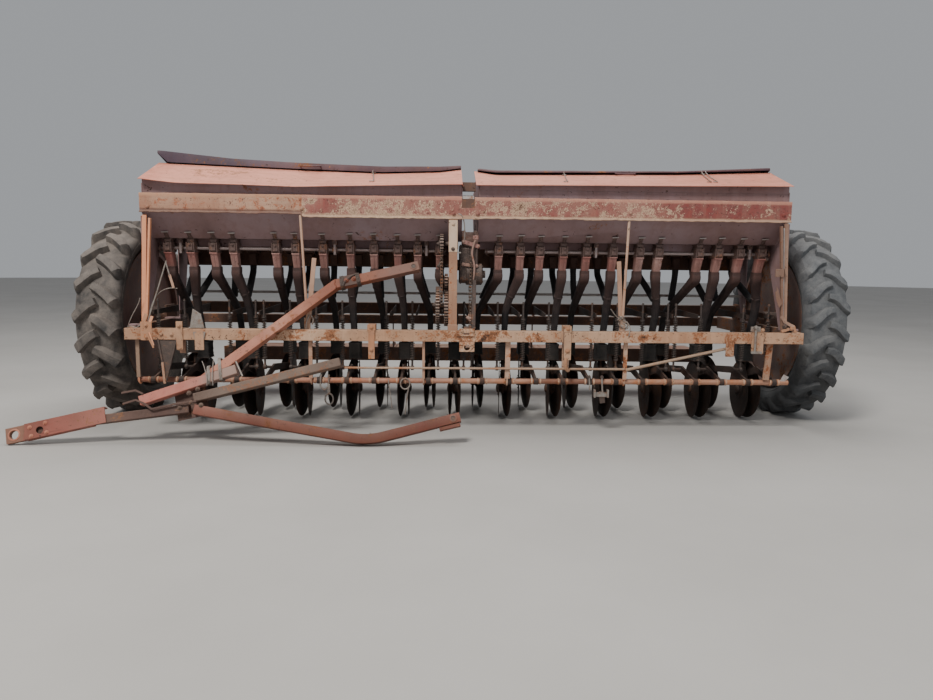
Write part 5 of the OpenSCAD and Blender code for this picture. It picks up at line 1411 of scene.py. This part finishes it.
def beam_trim():
    b = Build()
    W, DW, PO, OR, BM, PL, CR = 0, 1, 2, 3, 4, 5, 6
    F = -0.6605  # front face of the beam
    # pale rods by the left posts
    b.sweep(smooth([V(-1.622, -0.634, 0.936), V(-1.644, -0.636, 0.868), V(-1.674, -0.638, 0.776), V(-1.706, -0.640, 0.684), V(-1.728, -0.642, 0.612)], 6), 0.0042, 8, W)
    b.sweep(smooth([V(-1.624, -0.636, 0.930), V(-1.616, -0.636, 0.895), V(-1.606, -0.636, 0.856)], 6), 0.0036, 8, W)
    b.bar(V(-1.607, -0.636, 0.862), V(-1.588, -0.636, 0.792), 0.0135, 0.0030, side=(1, 0, 0), mat=PO)
    # thin wires: one bowed behind the posts, one that springs up outside them
    b.sweep(smooth([V(-1.724, -0.634, 0.640), V(-1.714, -0.634, 0.684), V(-1.692, -0.632, 0.734), V(-1.658, -0.628, 0.773), V(-1.615, -0.624, 0.790), V(-1.573, -0.622, 0.789)], 8), 0.0020, 6, W)
    b.sweep(smooth([V(-1.838, -0.640, 0.5785), V(-1.830, -0.640, 0.602), V(-1.812, -0.640, 0.642), V(-1.780, -0.638, 0.700), V(-1.766, -0.638, 0.738)], 8), 0.0022, 6, W)
    b.sweep(smooth([V(-1.838, -0.640, 0.5790), V(-1.815, -0.650, 0.586), V(-1.786, -0.652, 0.580), V(-1.764, -0.650, 0.596)], 8), 0.0026, 6, W)
    # yellow-orange strap at the foot of the left posts
    b.box((-1.762, F - 0.0025, 0.512), (-1.702, F - 0.0005, 0.612), 0.001, OR)
    b.box((-1.762, -0.661, 0.6055), (-1.702, -0.600, 0.6085), 0.001, OR)
    for z in (0.530, 0.592):
        b.bolt((-1.732, F - 0.0025, z), (0, -1, 0), 0.008, 0.006, OR)
    # loose ends of the strap, and a rag of it over the top of the beam
    b.bar(V(-1.728, F - 0.005, 0.548), V(-1.694, F - 0.008, 0.472), 0.0095, 0.0030, side=(1, 0, 0), mat=OR)
    b.bar(V(-1.714, F - 0.0085, 0.556), V(-1.690, F - 0.013, 0.486), 0.0070, 0.0026, side=(1, 0, 0), mat=PO)
    b.bar(V(-1.748, -0.650, 0.609), V(-1.734, -0.646, 0.652), 0.020, 0.0040, side=(1, 0, 0), mat=OR)
    b.bar(V(-1.716, -0.648, 0.609), V(-1.706, -0.640, 0.640), 0.016, 0.0040, side=(1, 0, 0), mat=PO)
    # tapered bracket under the beam, its plate darker than its two folded edges
    X0 = lambda a, b_, t: (a, t, b_)
    b.prism([(-1.668, 0.512), (-1.580, 0.512), (-1.636, 0.296), (-1.650, 0.296)], X0, F + 0.006, F + 0.009, 0.001, DW)
    b.bar(V(-1.672, F + 0.004, 0.513), V(-1.6545, F + 0.004, 0.392), 0.010, 0.012, side=(1, 0, 0), mat=DW)
    b.bar(V(-1.6545, F + 0.004, 0.394), V(-1.6460, F + 0.004, 0.276), 0.013, 0.012, side=(1, 0, 0), mat=PO)
    b.bar(V(-1.576, F + 0.004, 0.513), V(-1.6395, F + 0.004, 0.286), 0.008, 0.012, side=(1, 0, 0), mat=DW)
    # grey wedge on the beam and the folded clip below it
    X = lambda a, b_, t: (a, t, b_)
    b.prism([(-1.508, 0.577), (-1.430, 0.577), (-1.447, 0.654), (-1.490, 0.682)], X, -0.646, -0.634, 0.002, W)
    b.bar(V(-1.476, F - 0.004, 0.560), V(-1.458, F - 0.005, 0.462), 0.016, 0.005, side=(1, 0, 0), mat=W)
    b.bar(V(-1.424, F - 0.004, 0.560), V(-1.452, F - 0.005, 0.462), 0.016, 0.005, side=(1, 0, 0), mat=W)
    # U-bolts of round bar that hang from the beam to the hinge bar
    for x0, x1, zb, r in ((-0.812, -0.770, 0.240, 0.0045),):
        zt = 0.577 if x0 < -1 else 0.325
        yy = F - 0.006 if x0 < -1 else -0.622
        pts = [V(x0, yy, zt)] + [V(x0 - 0.004, yy + (0.030 if x0 < -1 else 0) * t, zt + (zb + 0.02 - zt) * t) for t in (0.4, 0.8, 1.0)]
        pts += [V((x0 + x1) / 2 - 0.004, yy + (0.030 if x0 < -1 else 0), zb), V(x1 - 0.004, yy + (0.030 if x0 < -1 else 0), zb + 0.02)]
        pts += [V(x1 - 0.002, yy + (0.030 if x0 < -1 else 0) * t, zt + (zb + 0.02 - zt) * t) for t in (0.8, 0.4)] + [V(x1, yy, zt)]
        b.sweep(smooth(pts, 5), r, 8, DW if x0 < -1 else W)
        for x in (x0, x1):
            if x0 < -1:
                b.bolt((x, yy, zt + 0.001), (0, 0, 1), 0.009, 0.009, DW)
    for x in (-1.655, -1.600):
        b.bolt((x, F - 0.0005, 0.545), (0, -1, 0), 0.008, 0.006, BM)
    # ring with its bolt under the left hinge bar, and two wires
    b.sweep([V(-0.770 + 0.022 * math.cos(t), -0.626, 0.190 + 0.030 * math.sin(t)) for t in np.linspace(0, 2 * PI, 26)[:-1]], 0.0045, 8, W, closed=True)
    b.bar(V(-0.772, -0.626, 0.272), V(-0.770, -0.626, 0.216), 0.014, 0.007, side=(1, 0, 0), mat=W)
    b.sweep(smooth([V(-0.445, -0.617, 0.300), V(-0.441, -0.622, 0.262), V(-0.430, -0.624, 0.190), V(-0.424, -0.624, 0.138)], 5), 0.003, 7, W)
    b.sweep([V(-0.352 + 0.026 * math.cos(t), -0.622, 0.276 + 0.030 * math.sin(t)) for t in np.linspace(0, 2 * PI, 26)[:-1]], 0.004, 8, W, closed=True)
    b.sweep(smooth([V(-0.334, -0.624, 0.252), V(-0.342, -0.626, 0.20), V(-0.352, -0.626, 0.104)], 5), 0.0035, 7, W)
    # pair of pins with a plate under the right hinge bar
    for x, z in ((0.674, 0.246), (0.745, 0.232)):
        b.cyl(V(x - 0.003, -0.6195, 0.318), V(x + 0.002, -0.624, z), 0.0048, 9, W)
        b.bolt(V(x - 0.003, -0.6195, 0.316), (0, 0, 1), 0.008, 0.008, DW)
    b.bar(V(0.700, -0.624, 0.222), V(0.780, -0.624, 0.219), 0.026, 0.006, side=(0, 0, 1), mat=W)
    for x in (0.702, 0.776):
        b.box((x - 0.005, -0.640, 0.205), (x + 0.005, -0.612, 0.250), 0.0015, W)
    b.bar(V(0.742, -0.622, 0.24), V(0.752, -0.612, 0.17), 0.030, 0.004, side=(1, 0, 0), mat=DW)
    # hook on the left stay rod's foot, knot of wire on the right one's
    b.sweep(smooth([V(-0.890, -0.628, 0.578), V(-0.884, -0.630, 0.62), V(-0.868, -0.628, 0.652), V(-0.852, -0.622, 0.63), V(-0.858, -0.618, 0.600)], 6), 0.0045, 8, W)
    rnd = random.Random(11)
    for i in range(5):
        c0 = V(0.852 + rnd.uniform(-.006, .012), -0.616 + rnd.uniform(-.004, .004), 0.622 + rnd.uniform(-.016, .020))
        ra, rb, ph = rnd.uniform(.020, .034), rnd.uniform(.014, .026), rnd.uniform(0, 3)
        b.sweep([c0 + V(ra * math.cos(t + ph), 0.010 * math.sin(2 * t + i), rb * math.sin(t)) for t in np.linspace(0, 2 * PI, 22)[:-1]], 0.0026, 7, W, closed=True)
    b.sweep(smooth([V(0.836, -0.624, 0.640), V(0.806, -0.628, 0.662), V(0.775, -0.630, 0.700)], 5), 0.0022, 6, W)
    b.sweep(smooth([V(0.870, -0.622, 0.630), V(0.884, -0.640, 0.600), V(0.876, -0.662, 0.572), V(0.872, -0.664, 0.548)], 5), 0.0028, 7, W)
    b.box((0.834, -0.640, 0.5755), (0.900, -0.604, 0.5795), 0.001, PO)
    # two-piece clamp at the right end: a strap over the beam with a screw down through it
    b.box((1.545, F - 0.014, 0.585), (1.600, F - 0.0085, 0.612), 0.002, W)
    b.cyl(V(1.572, F - 0.016, 0.475), V(1.572, F - 0.016, 0.612), 0.006, 10, W)
    b.bolt(V(1.572, F - 0.016, 0.604), (0, 0, 1), 0.010, 0.010, W)
    b.box((1.552, F - 0.0225, 0.462), (1.612, F - 0.0085, 0.476), 0.002, W)
    # right posts: clip, torn tab of the plate's edge, folded foot and the pale lip of the outer flat
    b.box((1.682, -0.6345, 0.884), (1.733, -0.6305, 0.928), 0.0012, PO)
    b.box((1.7285, -0.6345, 0.884), (1.7335, -0.6000, 0.928), 0.0010, PO)
    b.bar(V(1.7530, -0.6125, 0.625), V(1.7235, -0.6125, 1.150), 0.0062, 0.0045, side=(1, 0, 0), mat=PL)
    X1 = lambda a, b_, t: (a, t, b_)
    b.prism([(1.6850, 0.8019), (1.6936, 0.7579), (1.7134, 0.7138), (1.7288, 0.7361), (1.7011, 0.8131)], X1, -0.637, -0.6345, 0.001, PO)
    b.prism([(1.6900, 0.836), (1.6960, 0.800), (1.7060, 0.806)], X1, -0.6362, -0.6345, 0.0006, PO)
    b.bar(V(1.7280, -0.636, 0.668), V(1.7560, -0.642, 0.628), 0.020, 0.0045, side=(1, 0, 0), mat=PO)
    b.bar(V(1.7540, -0.642, 0.632), V(1.7990, -0.644, 0.610), 0.017, 0.0045, side=(0, 0, 1), mat=PO)
    b.bar(V(1.7980, -0.643, 0.616), V(1.8090, -0.645, 0.580), 0.015, 0.0045, side=(1, 0, 0), mat=OR)
    b.bar(V(1.7300, -0.648, 0.584), V(1.7720, -0.646, 0.598), 0.016, 0.0060, side=(0, 0, 1), mat=OR)
    b.bolt((1.745, -0.645, 0.614), (0, -1, 0), 0.010, 0.010, DW)
    b.bolt((1.786, -0.6465, 0.600), (0, -1, 0), 0.008, 0.008, OR)
    # torn end of the right hinge bar
    b.prism([(1.7564, 0.2990), (1.7774, 0.3380), (1.8078, 0.3221), (1.7863, 0.2960)], X1, -0.6120, -0.6085, 0.001, PL)
    # orange clamp right of the middle and its hook; brown one left of the middle
    b.box((0.512, -0.6705, 0.572), (0.556, -0.600, 0.6065), 0.0015, BM)
    b.box((0.512, F - 0.0095, 0.420), (0.5155, F - 0.0080, 0.602), 0.0007, DW)
    b.sweep(smooth([V(0.528, -0.672, 0.430), V(0.526, -0.676, 0.395), V(0.536, -0.668, 0.366), V(0.548, -0.655, 0.360)], 6), [0.010] * 18 + [0.008], 8, OR)
    for z in (0.592, 0.470):
        b.bolt((0.536, F - 0.0085, z), (0, -1, 0), 0.009, 0.006, OR)
        b.bolt((-0.532, F - 0.0085, z), (0, -1, 0), 0.009, 0.006, OR)
        b.bolt((-1.556, F - 0.0085, z), (0, -1, 0), 0.008, 0.006, BM)
        b.bolt((1.612, F - 0.0085, z), (0, -1, 0), 0.008, 0.006, BM)
    b.box((-0.549, F - 0.0095, 0.420), (-0.515, F - 0.0080, 0.604), 0.0007, OR)
    b.box((-0.554, -0.6705, 0.574), (-0.510, -0.600, 0.6065), 0.0015, OR)
    # centre post: bright upper length lapped over the lower one, with a bent wire beside it
    b.box((-0.1175, -0.6148, 1.0005), (-0.0690, -0.6128, 1.1700), 0.0008, CR)
    b.box((-0.0710, -0.6148, 1.0005), (-0.0690, -0.6050, 1.1700), 0.0006, CR)
    b.bolt((-0.094, -0.6148, 1.016), (0, -1, 0), 0.007, 0.005, DW)
    b.bolt((-0.094, -0.6148, 1.150), (0, -1, 0), 0.007, 0.005, CR)
    b.bar(V(-0.072, -0.613, 0.9985), V(-0.050, -0.613, 0.9965), 0.008, 0.003, side=(0, 0, 1), mat=W)
    b.sweep(smooth([V(-0.068, -0.606, 1.205), V(-0.050, -0.608, 1.198), V(-0.036, -0.604, 1.165), V(-0.031, -0.598, 1.115), V(-0.030, -0.586, 1.064)], 8), 0.0032, 8, W)
    # middle plates: slot in the upper one, rim of the pin hole, bolts
    b.box((-0.034, -0.6712, 0.556), (-0.002, -0.6697, 0.566), 0.0005, DW)
    b.lathe((-0.014, -0.6695, 0.485), (0, -1, 0), [(0.0165, 0), (0.024, 0), (0.0235, 0.003), (0.0175, 0.0035)], 28, BM, caps=False, loop=True)
    for x in (-0.044, 0.014):
        b.bolt((x, -0.6700, 0.576), (0, -1, 0), 0.008, 0.006, BM)
        b.bolt((x, -0.6700, 0.505), (0, -1, 0), 0.007, 0.005, BM)
    # angle plates of the openers' clips along the hinge bar: collars beside the eyes
    for R in ROWS:
        for s_ in (-1, 1):
            b.lathe((R["x"] + s_ * 0.024, OPEN_Y, OPEN_Z), (1, 0, 0), [(0.0152, -0.004), (0.0185, -0.004), (0.0185, 0.004), (0.0152, 0.004)], 20, BM, caps=False, loop=True)
    # hooks that hold the hinge bars at the straps
    for x in (-0.251, 0.212, 0.868, -1.798, -0.868):
        b.sweep(smooth([V(x, -0.6215, 0.330), V(x, -0.6215, 0.300), V(x, -0.6170, 0.278), V(x, -0.600, 0.2695), V(x, -0.583, 0.280), V(x, -0.5795, 0.300)], 6), 0.0045, 8, PO)
    # welds and end rims of the beam
    for x in (-1.850, 1.846):
        b.box((x, -0.6612, 0.5135), (x + 0.004, -0.5985, 0.5765), 0.001, BM)
    for x in (-1.83, 1.83):
        b.bar(V(x - 0.016, -0.6005, 0.5765), V(x + 0.016, -0.6005, 0.5765), 0.006, 0.006, c=0.002, mat=BM)
    # lower plate of the bridge between the belts
    b.obj("beam_trim", "chassis", [M_WIRE, M_DWIRE, M_POST, M_ORANGE, M_BEAM, M_PALE, M_CREAM], "beam_paint")
    b = Build()
    b.box((-0.108, -0.6085, 1.176), (0.050, -0.6050, 1.236), 0.0012)
    b.box((-0.108, -0.6150, 1.176), (0.050, -0.6050, 1.1795), 0.0012)
    for x in (-0.092, 0.036):
        b.bolt((x, -0.6085, 1.206), (0, -1, 0), 0.009, 0.006)
    b.box((-0.044, -0.6075, 1.284), (0.018, -0.6035, 1.303), 0.001, 1)
    b.box((-0.044, -0.6075, 1.299), (0.018, -0.585, 1.303), 0.001, 1)
    b.obj("bridge_plate", "chassis", [M_BELT, M_PALE], "roof_paint")


beam_trim()


def ring_round(b, pts, r, mat=0):
    """Wire round a set of corner points, in order."""
    c = sum(pts) / len(pts)
    out = []
    n = len(pts)
    for i in range(n):
        p, q = pts[i], pts[(i + 1) % n]
        out += [p + (q - p) * t for t in (0.12, 0.5, 0.88)]
    b.sweep(out, r, 7, mat, closed=True)


def drawbar_trim():
    b = Build()
    W, DW, BR, GR = 0, 1, 2, 3
    h = 0.0275

    def tie(u, v0, v1, slant, turns, r, mat, n0=-h, n1=h):
        for i in range(turns):
            du = (i - (turns - 1) / 2) * r * 2.1
            o = slant
            ring_round(b, [D(u + du - o, v0, n0), D(u + du - o, v0, n1), D(u + du + o, v1, n1), D(u + du + o, v1, n0)], r, mat)

    # ties round the stub and the upper arm
    tie(1.000, 0.030, 0.122, 0.006, 3, 0.0028, W, -h - 0.001, h + 0.001)
    tie(1.062, 0.036, 0.152, 0.004, 3, 0.0026, W, -h - 0.001, h + 0.001)
    b.sweep(smooth([D(0.985, 0.018, 0.030), D(0.992, 0.060, 0.036), D(0.986, 0.120, 0.034), D(0.976, 0.155, 0.020)], 5), 0.0025, 7, W)
    b.sweep(smooth([D(1.015, 0.012, 0.030), D(1.022, 0.070, 0.036), D(1.035, 0.146, 0.026)], 5), 0.0025, 7, W)
    # small rod across
    b.cyl(D(1.149, 0.112, 0.032), D(1.170, 0.026, 0.032), 0.005, 10, W)
    # bolts where the neck and the arms meet
    for u, v in ((0.829, -0.060), (0.892, -0.051), (0.889, 0.001), (0.935, 0.012), (0.940, -0.075)):
        b.bolt(D(u, v, 0.0255 if v > -0.055 or u > 0.9 else 0.0125), DR[:, 2], 0.0085, 0.007, GR, stub=0.005)
    # dark wires over the clamp on the upper arm
    tie(1.768, 0.396, 0.457, 0.002, 3, 0.0035, DW, -h - 0.001, 0.0345)
    tie(1.856, 0.396, 0.457, 0.000, 3, 0.0035, DW, -h - 0.001, 0.0345)
    b.sweep(smooth([D(1.768, 0.400, 0.036), D(1.800, 0.430, 0.042), D(1.852, 0.452, 0.037)], 6), 0.0035, 7, DW)
    for u in (1.795, 1.835):
        b.bolt(D(u, 0.426, 0.033), DR[:, 2], 0.010, 0.008, BR, stub=0.006)
    # tips of the arms: lugs with a pin hole and its bush
    for u, v in ((2.165, 0.430), (2.185, -0.436)):
        b.lathe(D(u, v, 0.0252), DR[:, 2], [(0.012, 0), (0.019, 0), (0.0185, 0.003), (0.013, 0.0035)], 24, BR, caps=False, loop=True)
        b.lathe(D(u, v, 0.0250), DR[:, 2], [(0.0118, 0.0006), (0.0, 0.0006)], 18, DW, caps=False)
    # weld at the upper arm's bend
    for v in (0.424,):
        for k_ in range(2):
            b.sweep([D(1.731 + 0.003 * math.sin(i), v + (-0.024 + 0.048 * i / 9), 0.0255 if k_ == 0 else -0.0255) for i in range(10)], 0.0035, 7, BR)
    # head: weld beads, edge lips, a ring on each face
    for v in (-0.052, 0.028):
        b.sweep([D(0.062 + 0.0015 * math.sin(i * 2.1), v + (0 if v > 0 else 0.002), -0.008 + 0.016 * i / 7) for i in range(8)], 0.003, 7, BR)
    for u in (0.12, 0.20, 0.30, 0.41):
        b.lathe(D(u, 0.0305, 0.0), DR[:, 1], [(0.008, 0), (0.0085, 0.002), (0.006, 0.004)], 12, BR)
    b.lathe(D(0.004, -0.012, 0.0105), DR[:, 2], [(0.0225, 0), (0.031, 0), (0.030, 0.0025), (0.0235, 0.003)], 32, BR, caps=False, loop=True)
    b.lathe(D(0.004, -0.012, -0.0105), -DR[:, 2], [(0.0225, 0), (0.031, 0), (0.030, 0.0025), (0.0235, 0.003)], 32, BR, caps=False, loop=True)
    # small rusty bolts by the second hole, and a dark block behind it: painted shade that makes the hole look dark
    for u, v in ((0.088, 0.006), (0.165, 0.012), (0.168, -0.038), (0.092, -0.040)):
        b.bolt(D(u, v, 0.0205), DR[:, 2], 0.0075, 0.005, BR, stub=0.003)
    b.bar(D(0.090, -0.012, -0.004), D(0.180, -0.012, -0.004), 0.066, 0.012, side=DR[:, 1], c=0.002, mat=4)
    b.obj("drawbar_trim", "chassis", [M_WIRE, M_DWIRE, M_DRED, M_DGREY, M_DBROWN], "drawbar_paint")


drawbar_trim()
